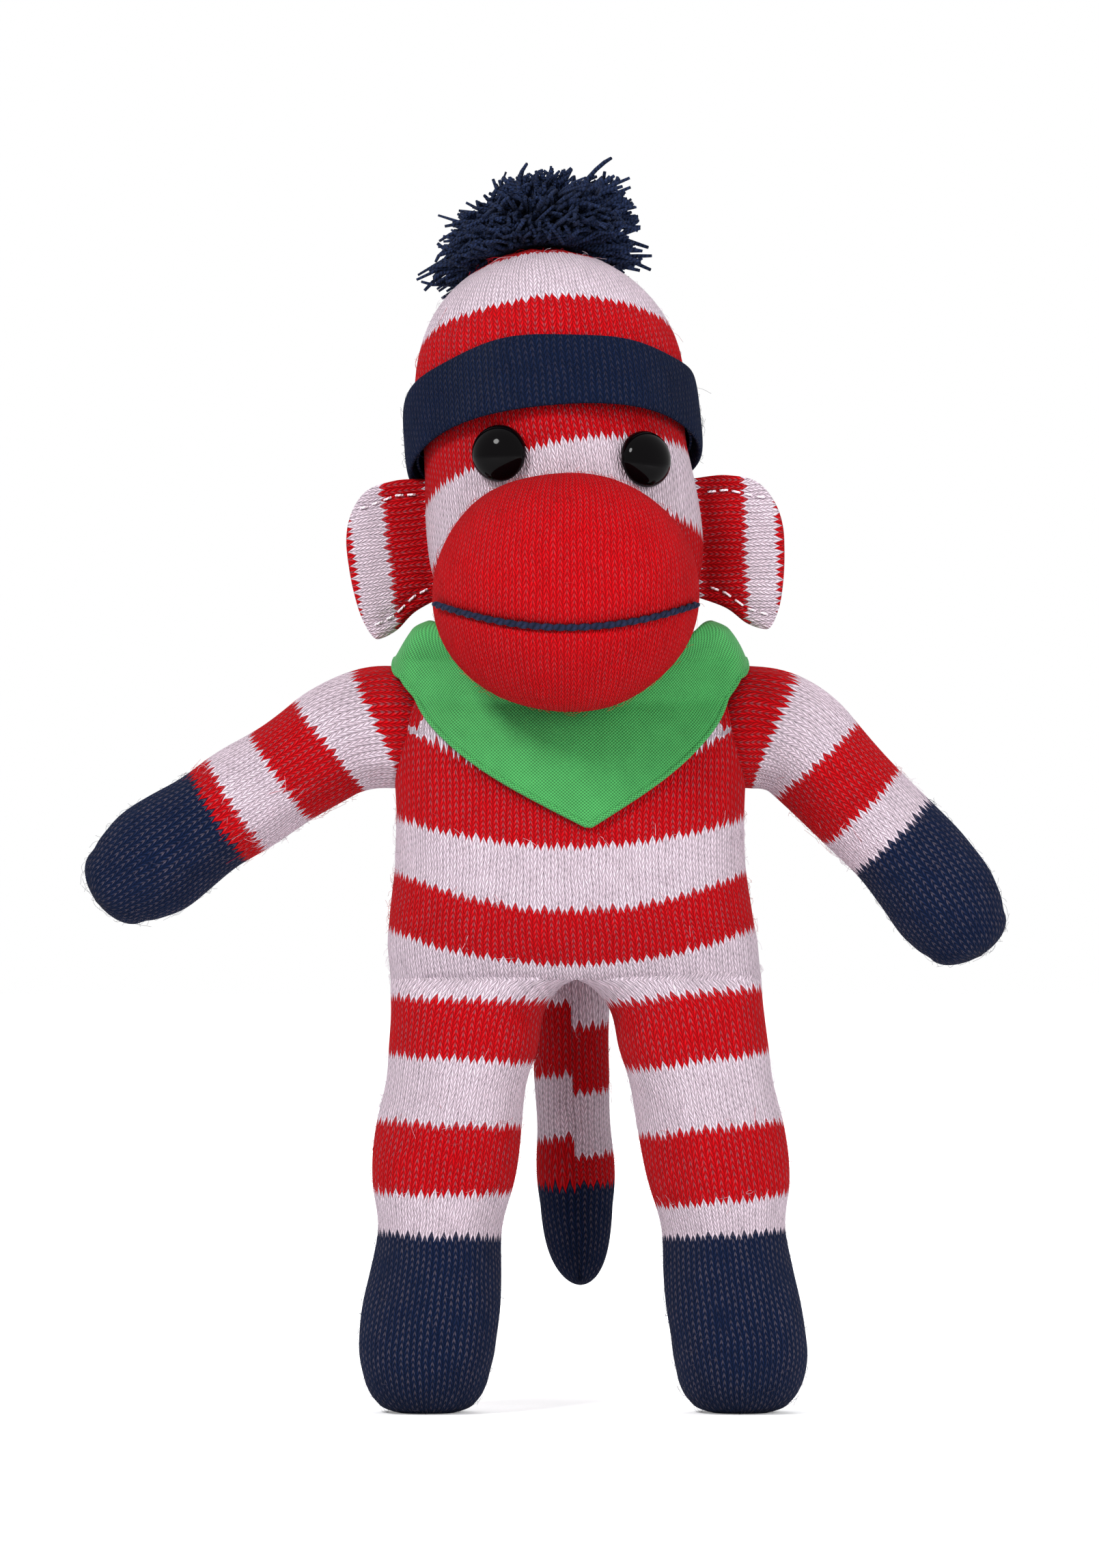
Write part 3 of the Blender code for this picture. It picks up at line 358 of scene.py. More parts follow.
def curve_through(levels: tuple, values: tuple, at: np.ndarray) -> np.ndarray:
    """A smooth curve through a table's points: cubic pieces whose slopes come from the neighbouring points.

    Args:
        levels: Where the table's points are, rising.
        values: What the curve is there.
        at: Where the curve is wanted.

    Returns:
        The curve's values, in the shape of `at`.
    """
    levels, values, at = (np.asarray(item, float) for item in (levels, values, at))
    steps = np.diff(levels)
    rises = np.diff(values) / steps
    inner = (rises[:-1] * steps[1:] + rises[1:] * steps[:-1]) / (steps[:-1] + steps[1:])
    inner = np.where(rises[:-1] * rises[1:] > 0, inner, 0)
    slopes = np.concatenate([rises[:1], inner, rises[-1:]])
    index = np.clip(np.searchsorted(levels, at, side="right") - 1, 0, len(steps) - 1)
    step = steps[index]
    u = (at - levels[index]) / step
    start = values[index] * (1 + 2 * u) * (1 - u) ** 2 + slopes[index] * step * u * (1 - u) ** 2
    end = values[index + 1] * u**2 * (3 - 2 * u) - slopes[index + 1] * step * u**2 * (1 - u)
    return start + end


def round_table(columns: int, power: float = 2.0, turn: float = 0.0) -> tuple[np.ndarray, np.ndarray, np.ndarray]:
    """Angles about a rounded oblong, and its two unit coordinates: each is a cosine or sine to the power 2/power, taken
    at even steps along the outline.

    Args:
        columns: How many points it has.
        power: 2 for a round, more for a squarer one.
        turn: The angle that the first point stands at.

    Returns:
        The angles, the coordinates across and the coordinates along.
    """
    fine = turn + 2 * math.pi * np.arange(4001) / 4000
    c, s = np.cos(fine), np.sin(fine)
    u, v = np.sign(c) * np.abs(c) ** (2 / power), np.sign(s) * np.abs(s) ** (2 / power)
    run = np.concatenate([[0], np.hypot(np.diff(u), np.diff(v)).cumsum()])
    at = np.arange(columns) * run[-1] / columns
    return tuple(np.interp(at, run, item) for item in (fine, u, v))


def lumps(points: np.ndarray, size: float, height: float, seed: float = 0.0) -> np.ndarray:
    """Soft unevenness of a hand-stuffed piece: three sine waves that run in different directions are added.

    Args:
        points: Where it is wanted, in metres.
        size: The waves' length in metres.
        height: The most that they rise.
        seed: What sets this piece's waves apart from another's.

    Returns:
        A height for each point.
    """
    k = 2 * math.pi / size
    x, y, z = points[..., 0], points[..., 1], points[..., 2]
    wave = np.sin(k * (0.9 * x + 0.5 * z) + seed) + np.sin(k * (0.7 * y - 0.8 * z) + 2.1 * seed)
    return height / 3 * (wave + np.sin(k * (0.6 * x - 0.7 * y + 0.4 * z) + 3.7 * seed))


def puffed(points: np.ndarray, height: np.ndarray | float) -> np.ndarray:
    """Moves the points of a grid that wraps round along its outward direction, which is the cross product of the
    grid's own steps."""
    up = np.gradient(points, axis=0)
    round_step = np.roll(points, -1, axis=1) - np.roll(points, 1, axis=1)
    out = np.cross(round_step, up)
    size = np.linalg.norm(out, axis=2, keepdims=True)
    out = np.where(size > 1e-12, out / np.maximum(size, 1e-12), 0)
    centre = points.mean(axis=1, keepdims=True)
    facing = np.sign(((points - centre) * out).sum(axis=2, keepdims=True).mean())
    return points + out * facing * np.asarray(height)[..., None]


def grid_mesh(
    name: str,
    points: np.ndarray,
    cloth: np.ndarray,
    first: np.ndarray | None = None,
    last: np.ndarray | None = None,
    wrap: bool = True,
    pole_cloth: np.ndarray | None = None,
) -> bpy.types.Object:
    """Makes one object from a grid of points, closed by a fan to a pole at either end where one is given.

    Args:
        name: The piece's name.
        points: Rows by columns by 3, about the doll's middle line.
        cloth: The cloth coordinates of each point, with one more column where the grid wraps round.
        first: The pole before the first row.
        last: The pole after the last row.
        wrap: Whether the last column joins the first.
        pole_cloth: The poles' cloth coordinates, where the cloth is laid flat over them.

    Returns:
        The object, smooth, with its faces outwards and its cloth coordinates in the UV map "cloth".
    """
    rows, columns = points.shape[:2]
    index = np.arange(rows * columns).reshape(rows, columns)
    spans = columns if wrap else columns - 1
    i, j = np.meshgrid(np.arange(rows - 1), np.arange(spans), indexing="ij")
    k = (j + 1) % columns
    quads = np.stack([index[i, j], index[i, k], index[i + 1, k], index[i + 1, j]], axis=-1).reshape(-1, 4)
    quad_cloth = np.stack([cloth[i, j], cloth[i, j + 1], cloth[i + 1, j + 1], cloth[i + 1, j]], axis=-2)
    places = [points.reshape(-1, 3)]
    threes, three_cloth = [], []
    j = np.arange(spans)
    k = (j + 1) % columns
    for pole, row, flip in ((first, 0, True), (last, rows - 1, False)):
        if pole is None:
            continue
        number = rows * columns + len(places) - 1
        places.append(np.asarray(pole, float).reshape(1, 3))
        ends = [index[row, k], index[row, j]] if flip else [index[row, j], index[row, k]]
        near = [cloth[row, j + 1], cloth[row, j]] if flip else [cloth[row, j], cloth[row, j + 1]]
        middle = (near[0] + near[1]) / 2 if pole_cloth is None else np.broadcast_to(pole_cloth, near[0].shape)
        threes.append(np.stack([*ends, np.full(spans, number)], axis=-1))
        three_cloth.append(np.stack([*near, middle], axis=-2))
    corners = np.concatenate(places)
    three = np.concatenate(threes) if threes else np.zeros((0, 3), int)
    centre = corners.mean(axis=0)
    tri = np.concatenate([quads[:, [0, 1, 2]], quads[:, [0, 2, 3]], three])
    a, b, c = (corners[tri[:, n]] - centre for n in range(3))
    if wrap and (a * np.cross(b, c)).sum() < 0:
        quads, quad_cloth = quads[:, ::-1], quad_cloth[..., ::-1, :]
        three, three_cloth = three[:, ::-1], [item[:, ::-1] for item in three_cloth]
    mesh = bpy.data.meshes.new(name)
    mesh.from_pydata(to_frame(corners), [], quads.tolist() + three.tolist())
    flat = np.concatenate([quad_cloth.reshape(-1, 2), *(item.reshape(-1, 2) for item in three_cloth)])
    mesh.uv_layers.new(name="cloth").data.foreach_set("uv", flat.astype(np.float32).ravel())
    mesh.shade_smooth()
    mesh.set_sharp_from_angle(angle=math.radians(62))
    obj = bpy.data.objects.new(name, mesh)
    bpy.context.scene.collection.objects.link(obj)
    return obj


def round_cloth(points: np.ndarray, wale: float, courses: np.ndarray) -> np.ndarray:
    """Cloth coordinates of a tube: a whole, even number of stitches round its middle row, counted by the real distance
    from point to point, and the given courses down each column.

    Args:
        points: The tube's grid.
        wale: One stitch's width.
        courses: Rows by columns of course numbers.

    Returns:
        Rows by columns + 1 by 2.
    """
    ring = points[len(points) // 2]
    run = np.linalg.norm(np.roll(ring, -1, axis=0) - ring, axis=1).cumsum()
    across = np.concatenate([[0], run]) * 2 * round(run[-1] / wale / 2) / run[-1]
    across = np.broadcast_to(across, (len(points), len(across)))
    return np.stack([across, np.concatenate([courses, courses[:, :1]], axis=1)], axis=-1)


def course_of(place: np.ndarray, edges: np.ndarray, counts: tuple) -> np.ndarray:
    """The course at a place, from where the stripes' edges lie: between two edges it rises evenly by their count,
    and beyond the last ones it goes on at one course for each stitch height.

    Args:
        place: Distances along the cloth, rising with the courses.
        edges: The stripes' edges, on its first axis, in the shape of `place` on the others.
        counts: The course number at each edge.

    Returns:
        The course numbers.
    """
    course = counts[0] - np.maximum(edges[0] - place, 0) / COURSE + np.maximum(place - edges[-1], 0) / COURSE
    for low, high, start, end in zip(edges[:-1], edges[1:], counts[:-1], counts[1:]):
        course = course + (end - start) * clamp((place - low) / (high - low))
    return course


def thread(name: str, path: np.ndarray, radius: float, sides: int = 8, along: float = 0.0) -> bpy.types.Object:
    """A round yarn on a path: rings at right angles to it, closed at both ends.

    Args:
        name: The piece's name.
        path: The points that its middle follows.
        radius: Its thickness from the middle.
        sides: How many sides each ring has.
        along: Where its cloth coordinates start.

    Returns:
        The object.
    """
    rings, cloth = thread_grid(path, radius, sides)
    cloth[..., 1] += along
    return grid_mesh(name, rings, cloth, path[0], path[-1])


def thread_grid(path: np.ndarray, radius: np.ndarray | float, sides: int) -> tuple[np.ndarray, np.ndarray]:
    """Rings about a path, each square to its direction, and their cloth coordinates: turns round and metres along.

    Args:
        path: The points of the path.
        radius: One radius, or one for each point.
        sides: How many sides each ring has.

    Returns:
        The rings' points and cloth coordinates.
    """
    way = np.gradient(path, axis=0)
    way = way / np.linalg.norm(way, axis=1, keepdims=True)
    spare = np.where(np.abs(way[:, 2:3]) < 0.9, np.array([[0.0, 0.0, 1.0]]), np.array([[1.0, 0.0, 0.0]]))
    across = np.cross(way, spare)
    across = across / np.linalg.norm(across, axis=1, keepdims=True)
    other = np.cross(way, across)
    angle = 2 * math.pi * np.arange(sides) / sides
    ring = across[:, None] * np.cos(angle)[None, :, None] + other[:, None] * np.sin(angle)[None, :, None]
    points = path[:, None] + ring * np.broadcast_to(np.asarray(radius, float).reshape(-1, 1, 1), (len(path), 1, 1))
    run = np.concatenate([[0], np.cumsum(np.linalg.norm(np.diff(path, axis=0), axis=1))])
    turns = np.broadcast_to(np.arange(sides + 1) / sides, (len(path), sides + 1))
    return points, np.stack([turns, np.broadcast_to(run[:, None], turns.shape)], axis=-1)


def dress(
    obj: bpy.types.Object,
    material: bpy.types.Material,
    slot: Slot,
    body: str,
    *nodes: str,
    fill: float | None = None,
) -> bpy.types.Object:
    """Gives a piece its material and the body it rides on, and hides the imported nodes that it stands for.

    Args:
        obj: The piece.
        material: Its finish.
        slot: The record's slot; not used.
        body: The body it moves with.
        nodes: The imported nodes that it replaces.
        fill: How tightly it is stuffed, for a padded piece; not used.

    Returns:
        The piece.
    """
    obj.data.materials.append(material)
    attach(obj, body)
    if nodes:
        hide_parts(*nodes)
    LOG.info("%s rides on %s", obj.name, body)
    return obj


def many_threads(name: str, paths: np.ndarray, radius: np.ndarray | float, sides: int = 5) -> bpy.types.Object:
    """Many short yarns of one number of points in one piece, each a tube with closed ends.

    Args:
        name: The piece's name.
        paths: Yarns by points by 3, about the doll's middle line.
        radius: Their thickness from the middle, one for all or one for each point of a yarn.
        sides: How many sides each has.

    Returns:
        The object.
    """
    count, steps = paths.shape[:2]
    way = np.gradient(paths, axis=1)
    way = way / np.maximum(np.linalg.norm(way, axis=2, keepdims=True), 1e-12)
    spare = np.where(np.abs(way[..., 2:3]) < 0.9, np.array([0.0, 0.0, 1.0]), np.array([1.0, 0.0, 0.0]))
    across = np.cross(way, spare)
    across = across / np.linalg.norm(across, axis=2, keepdims=True)
    other = np.cross(way, across)
    angle = 2 * math.pi * np.arange(sides) / sides
    ring = across[:, :, None] * np.cos(angle)[:, None] + other[:, :, None] * np.sin(angle)[:, None]
    thick = np.broadcast_to(np.asarray(radius, float), (count, steps))[..., None, None]
    rings = (paths[:, :, None] + ring * thick).reshape(-1, 3)
    index = np.arange(count * steps * sides).reshape(count, steps, sides)
    turned = np.roll(index, -1, axis=2)
    quads = np.stack([index[:, :-1], turned[:, :-1], turned[:, 1:], index[:, 1:]], axis=-1).reshape(-1, 4)
    turns = np.arange(sides) / sides
    run = np.concatenate([np.zeros((count, 1)), np.linalg.norm(np.diff(paths, axis=1), axis=2).cumsum(axis=1)], axis=1)
    near, far = (np.broadcast_to(part[..., None], (count, steps - 1, sides)) for part in (run[:, :-1], run[:, 1:]))
    low = np.broadcast_to(turns, near.shape)
    corners = np.stack([low, near, low + 1 / sides, near, low + 1 / sides, far, low, far], axis=-1)
    mesh = bpy.data.meshes.new(name)
    ends = np.concatenate([index[:, 0, ::-1], index[:, -1]])
    a, b, c = (rings[quads[:200, n]] for n in range(3))
    middle = np.repeat(paths[:, :-1].reshape(-1, 3), sides, axis=0)[:200]
    if (np.cross(b - a, c - a) * (a - middle)).sum() < 0:
        quads, corners = quads[:, ::-1], corners.reshape(*near.shape, 4, 2)[..., ::-1, :]
        ends = ends[:, ::-1]
    mesh.from_pydata(to_frame(rings), [], quads.tolist() + ends.tolist())
    flat = np.concatenate([corners.reshape(-1), np.zeros(ends.size * 2)])
    mesh.uv_layers.new(name="cloth").data.foreach_set("uv", flat.astype(np.float32))
    mesh.shade_smooth()
    obj = bpy.data.objects.new(name, mesh)
    bpy.context.scene.collection.objects.link(obj)
    return obj


def loose_fibres(
    obj: bpy.types.Object, count: int, slot: Slot, body: str, highest: float, across: tuple[float, float]
) -> bpy.types.Object:
    """Fine acrylic fibres that have worked out of a knit: each leaves the cloth, arches over it and, one time in three,
    ends in the air. Its cloth coordinates are those of its root, so it has the colour of the stripe that it left.

    Args:
        obj: The knit piece.
        count: How many fibres.
        slot: The piece's slot.
        body: The body it moves with.
        highest: The height under which the fibres start, which keeps them clear of a joint.
        across: How near to the middle and how far from it they start, for the same reason.

    Returns:
        The fibres, as one piece.
    """
    mesh = obj.data
    rng = np.random.default_rng(count)
    spots, facing = np.empty((2, len(mesh.polygons), 3), np.float32)
    area, first = np.empty(len(mesh.polygons), np.float32), np.empty(len(mesh.polygons), np.int32)
    for values, field in ((spots, "center"), (facing, "normal"), (area, "area"), (first, "loop_start")):
        mesh.polygons.foreach_get(field, values.reshape(-1))
    cloth = np.empty((len(mesh.loops), 2), np.float32)
    mesh.uv_layers["cloth"].data.foreach_get("uv", cloth.reshape(-1))
    aside = np.abs(spots[:, 0] - MIDDLE[0])
    weight = area * ((spots[:, 2] < highest) & (aside > across[0]) & (aside < across[1])).astype(float)
    pick = rng.choice(len(area), count, p=weight / weight.sum())
    start, out = spots[pick] - MIDDLE, facing[pick]
    ways = np.cross(rng.normal(size=(2, count, 3)), out)
    ways = ways / np.linalg.norm(ways, axis=2, keepdims=True)
    length, rise = rng.uniform(0.0010, 0.0026, (count, 1, 1)), rng.uniform(0.0002, 0.0006, (count, 1, 1))
    part = np.linspace(0, 1, 6)[None, :, None]
    free = (rng.random((count, 1, 1)) < 0.33) * part
    lift = rise * (np.sin(math.pi * part) * (1 - free) + 1.5 * free) - 0.00003
    paths = start[:, None] + length * (ways[0][:, None] * part + 0.5 * ways[1][:, None] * part**2) + lift * out[:, None]
    paths[..., 2] = np.maximum(paths[..., 2], 0.0001)
    fibres = many_threads(obj.name + "_fibres", paths, 0.000024, 3)
    own = cloth[first[pick]]
    own = np.concatenate([np.repeat(own, 5 * 3 * 4, axis=0), np.repeat(own, 3, axis=0), np.repeat(own, 3, axis=0)])
    fibres.data.uv_layers["cloth"].data.foreach_set("uv", own.reshape(-1))
    return dress(fibres, obj.data.materials[0], slot, body)


class Trim(Enum):
    """The small finishes that several pieces share."""

    WHITE_THREAD = "white_sewing_thread"
    MOUTH_YARN = "navy_mouth_yarn"
    POMPOM_YARN = "navy_pompom_yarn"
    EYE = "black_polished_acrylic"
    WASHER = "natural_nylon"


class Finishes:
    """Makes each shared finish the first time that a piece asks for it."""

    recipes = {
        # Each yarn's second colour is its painted highlight.
        Trim.WHITE_THREAD: PlyYarn("white_sewing_thread", Yarn.WHITE, "#ffffff"),
        Trim.MOUTH_YARN: PlyYarn("navy_mouth_yarn", Yarn.DARK_NAVY, "#2e3656", 900.0),
        Trim.POMPOM_YARN: PlyYarn("navy_pompom_yarn", Yarn.DARK_NAVY, "#2f3f68", 1300.0),
        Trim.EYE: Plastic("black_polished_acrylic", "#040304", 0.02, 0.13),
        Trim.WASHER: Plastic("natural_nylon", "#dcd9d2", 0.42, 1.0),
    }

    @classmethod
    def get(cls, trim: Trim) -> bpy.types.Material:
        """The finish for a trim, made once."""
        return bpy.data.materials.get(trim.value) or cls.recipes[trim].build()


# ---------------------------------------------------------------- body


@dataclass
class Torso:
    """The stuffed body, a squarish tube of striped knit that closes at the shoulders and at the hips."""

    width: float = 0.0622
    depth: float = 0.0384
    squareness: float = 2.9
    levels: tuple = (0.0, 0.09, 0.20, 0.38, 0.58, 0.76, 0.88, 0.95, 0.985, 1.0)
    widths: tuple = (1.03, 1.03, 1.005, 0.97, 0.975, 0.985, 0.93, 0.82, 0.66, 0.46)
    depths: tuple = (0.625, 0.80, 0.94, 1.0, 0.97, 0.89, 0.72, 0.50, 0.33, 0.16)
    rows: int = 76
    columns: int = 160
    side_edges: tuple = (0.1205, 0.1030, 0.0938, 0.0835, 0.0722)
    middle_edges: tuple = (0.1085, 0.0980, 0.0868, 0.0776, 0.0700)
    counts: tuple = (2, 8, 20, 29, 38, 47)
    shoulder_seam: float = 0.0262
    hip_shift: float = 0.0010
    neck_radius: float = 0.0125

    def at(self, share: np.ndarray) -> tuple[np.ndarray, np.ndarray, np.ndarray]:
        """Height, half width and half depth of the torso at a share of its height, from its two tables."""
        width = curve_through(self.levels, self.widths, share)
        depth = curve_through(self.levels, self.depths, share)
        return HIP_HEIGHT + 0.0001 + TORSO_HEIGHT * share, width * self.width / 2, depth * self.depth / 2

    def courses(self, points: np.ndarray) -> np.ndarray:
        """The course at each point: the stripes' edges sag towards the middle by the square of the way across, and
        outside the shoulder seams the cloth is red right up."""
        middle = 1 - clamp(np.abs(points[..., 0]) / (self.width / 2)) ** 2
        edges = [-(s + (m - s) * middle) for s, m in zip(self.side_edges, self.middle_edges)]
        inside = clamp((self.shoulder_seam - np.abs(points[..., 0])) / 0.005)
        edges = np.stack([edges[0] - 0.0004 - 0.02 * inside, *edges])
        return course_of(-points[..., 2], edges, self.counts)

    def build(self) -> list[bpy.types.Object]:
        """Makes the body and the gathered neck that joins it to the head.

        Returns:
            The two pieces.
        """
        # Rows crowd towards the shoulders: the level rises as the sine of an angle.
        share = np.sin(np.linspace(0, math.pi / 2, self.rows)) ** 0.9
        height, half_width, half_depth = self.at(share)
        _, across, along = round_table(self.columns, self.squareness, math.pi / 2)
        points = np.stack(
            [
                half_width[:, None] * across + self.hip_shift * clamp(1 - share / 0.3)[:, None] ** 2,
                half_depth[:, None] * along,
                np.broadcast_to(height[:, None], (self.rows, self.columns)),
            ],
            axis=-1,
        )
        inner = clamp(np.sin(math.pi * share))[:, None]
        points = puffed(points, (lumps(points, 0.023, 0.00055, 1.0) - 0.0001) * inner)
        # The gathers where the neck is tied run down from the collar as small pleats.
        pleat = clamp((share - 0.80) / 0.2)[:, None] ** 2
        spin = np.arange(self.columns) / self.columns * 2 * math.pi
        points = puffed(points, 0.0005 * pleat * np.sin(26 * spin)[None, :])
        stripes = tuple(zip((0, *self.counts), (Yarn.RED, Yarn.WHITE) * 4))
        knit = Knit("red_and_white_torso_knit", stripes, 60).build()
        cloth = round_cloth(points, WALE, self.courses(points))
        middle = np.array([0, 0, height[0]]), np.array([0, 0, height[-1]])
        body = grid_mesh("torso_knit", points, cloth, *middle)
        dress(body, knit, Slot.RED_KNIT, "torso", "torso", fill=0.8)
        return [body, self.neck(knit)]

    def neck(self, knit: bpy.types.Material) -> bpy.types.Object:
        """The tied neck: a short waisted tube with pleats between the torso and the head.

        Args:
            knit: The torso's finish.

        Returns:
            The piece.
        """
        share = np.linspace(0, 1, 16)[:, None]
        spin = 2 * math.pi * np.arange(96)[None, :] / 96
        radius = self.neck_radius * (1 - 0.22 * np.sin(math.pi * share)) + 0.0004 * np.sin(24 * spin)
        level = 0.1268 + 0.0108 * share
        points = np.stack(
            [radius * np.cos(spin) * 1.1, radius * np.sin(spin) * 0.62 + 0.001, np.broadcast_to(level, radius.shape)],
            axis=-1,
        )
        cloth = round_cloth(points, WALE, 42 + np.broadcast_to(share * 8, radius.shape))
        neck = grid_mesh("neck_gathers", points, cloth)
        neck.data.materials.append(knit)
        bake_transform(neck)
        return neck


@dataclass
class Arm:
    """A stuffed tube of striped knit that droops from the shoulder and ends in a plain navy hand."""

    side: int
    label: str
    length: float
    droop: float
    bend: float
    edges: tuple
    stripes: tuple
    hand: Yarn = Yarn.NAVY
    height: float = 0.0187
    depth: float = 0.0180
    root_drop: float = 0.0115
    inset: float = 0.0085
    hand_length: float = 0.0270
    levels: tuple = (0.0, 0.10, 0.22, 0.40, 0.56, 0.70, 0.84, 0.92, 0.97, 1.0)
    girths: tuple = (1.14, 1.10, 1.03, 1.0, 1.0, 1.03, 1.0, 0.82, 0.54, 0.0)
    turn_share: float = 0.2
    skew: float = 0.0046
    skew_reach: float = 0.011
    gather: float = 0.00022
    columns: int = 72

    def spine(self, torso: Torso, share: np.ndarray) -> tuple[np.ndarray, np.ndarray]:
        """Points and slopes of the arm's middle line: its slope grows from nothing at the shoulder to the droop, then
        bends on along the outer half, and the points are the sum of its small steps.

        Args:
            torso: The body that carries the arm.
            share: Shares of the arm's length.

        Returns:
            The points and the angles below the horizontal.
        """
        fine = np.linspace(0, 1, 401)
        slope = (self.droop + self.bend * clamp(2 * fine - 1)) * clamp(fine / self.turn_share)
        out = np.concatenate([[0], np.cumsum((np.cos(slope[1:]) + np.cos(slope[:-1])) / 2)]) * self.length / 400
        down = np.concatenate([[0], np.cumsum((np.sin(slope[1:]) + np.sin(slope[:-1])) / 2)]) * self.length / 400
        _, half_width, _ = torso.at(np.array([1 - self.root_drop / TORSO_HEIGHT]))
        root = np.array([self.side * (half_width[0] + 0.0003), 0, HIP_HEIGHT + TORSO_HEIGHT - self.root_drop])
        x, z = (np.interp(share, fine, item) for item in (out, down))
        line = root + np.stack([self.side * x, np.zeros_like(x), -z], axis=-1)
        return line, np.interp(share, fine, slope)

    def build(self, torso: Torso) -> list[bpy.types.Object]:
        """Makes the arm and its hand, which share the row of points where they meet.

        Args:
            torso: The body that carries the arm.

        Returns:
            The pieces.
        """
        split = 1 - self.hand_length / self.length
        sleeve = np.linspace(0, split, 44)
        palm = split + (1 - split) * np.sin(np.linspace(0, math.pi / 2, 31))[:-1]
        share = np.concatenate([sleeve, palm[1:]])
        line, slope = self.spine(torso, share)
        girth = curve_through(self.levels, self.girths, share)
        reach = clamp((share - self.levels[-3]) / (1 - self.levels[-3]))
        girth = np.where(share > self.levels[-3], self.girths[-3] * np.sqrt(1 - reach**2), girth)
        depth = self.height + (self.depth - self.height) * clamp(share / 0.08)
        spin, up_part, back_part = round_table(self.columns, 2.0, math.pi)
        up = np.stack([self.side * np.sin(slope), np.zeros_like(slope), np.cos(slope)], axis=-1)
        back = np.array([0.0, 1.0, 0.0])
        points = line[:, None] + (girth * self.height / 2)[:, None, None] * up_part[None, :, None] * up[:, None]
        points = points + (girth * depth / 2)[:, None, None] * back_part[None, :, None] * back
        swell = np.sin(math.pi * clamp(share * 1.02))[:, None] ** 0.5
        # Small gathers fan out from the shoulder seam and die away over the first tenth of the sleeve.
        gather = self.gather * np.sin(11 * spin + 0.7)[None, :] * np.exp(-(((share - 0.05) / 0.06) ** 2))[:, None]
        points = puffed(points, lumps(points, 0.017, 0.00045, 2.0 + self.side) * swell - 0.0001 + gather)
        run = np.broadcast_to((share * self.length)[:, None], points.shape[:2])
        # Each band lies a little askew, as the tube was stuffed: it moves by a cosine of the angle round the arm.
        run = run + 0.0006 * np.cos(spin - 1.0)[None, :]
        # The shoulder is sewn on a slant, so the bands reach further out on top, less and less towards the hand.
        run = run - self.skew * np.exp(-run / self.skew_reach) * up_part[None, :]
        counts = tuple(round(edge / COURSE) + 10 for edge in self.edges)
        edges = np.stack([np.full(run.shape, edge) for edge in self.edges])
        courses = course_of(run, edges, counts)
        knit = Knit(
            f"{self.label}_arm_knit",
            tuple(zip((0, *counts), self.stripes)),
            self.length / COURSE + 18,
        ).build()
        cloth = round_cloth(points, WALE, courses)
        tip, _ = self.spine(torso, np.array([1.0]))
        # The root is sewn into the shoulder: it goes on inwards as half an egg, whose rim is the arm's first ring.
        turn_in = np.linspace(0.06, 0.94, 12)[:, None, None] * math.pi / 2
        rim = points[0] - line[0]
        cap = line[0] + rim * np.sin(turn_in) - np.array([self.side * self.inset, 0, 0]) * np.cos(turn_in)
        body, joined = f"arm_{self.label}", len(sleeve)
        knitted = np.concatenate([cap, points[:joined]])
        inner = cloth[:1] - (0, 1) * (np.cos(turn_in) * self.inset / COURSE)
        capped = np.concatenate([inner, cloth[:joined]])
        pole = line[0] - np.array([self.side * self.inset, 0, 0])
        arm = grid_mesh(f"{self.label}_arm_knit", knitted, capped, pole)
        dress(arm, knit, Slot.RED_KNIT, body, f"arm_{self.label}", fill=0.8)
        palm_grid, palm_cloth = points[joined - 1 :], cloth[joined - 1 :]
        hand = grid_mesh(f"{self.label}_hand_knit", palm_grid, palm_cloth, None, tip[0])
        dress(hand, knit, Slot.NAVY_KNIT, body, f"hand_{self.label}", fill=0.8)
        return [arm, hand]


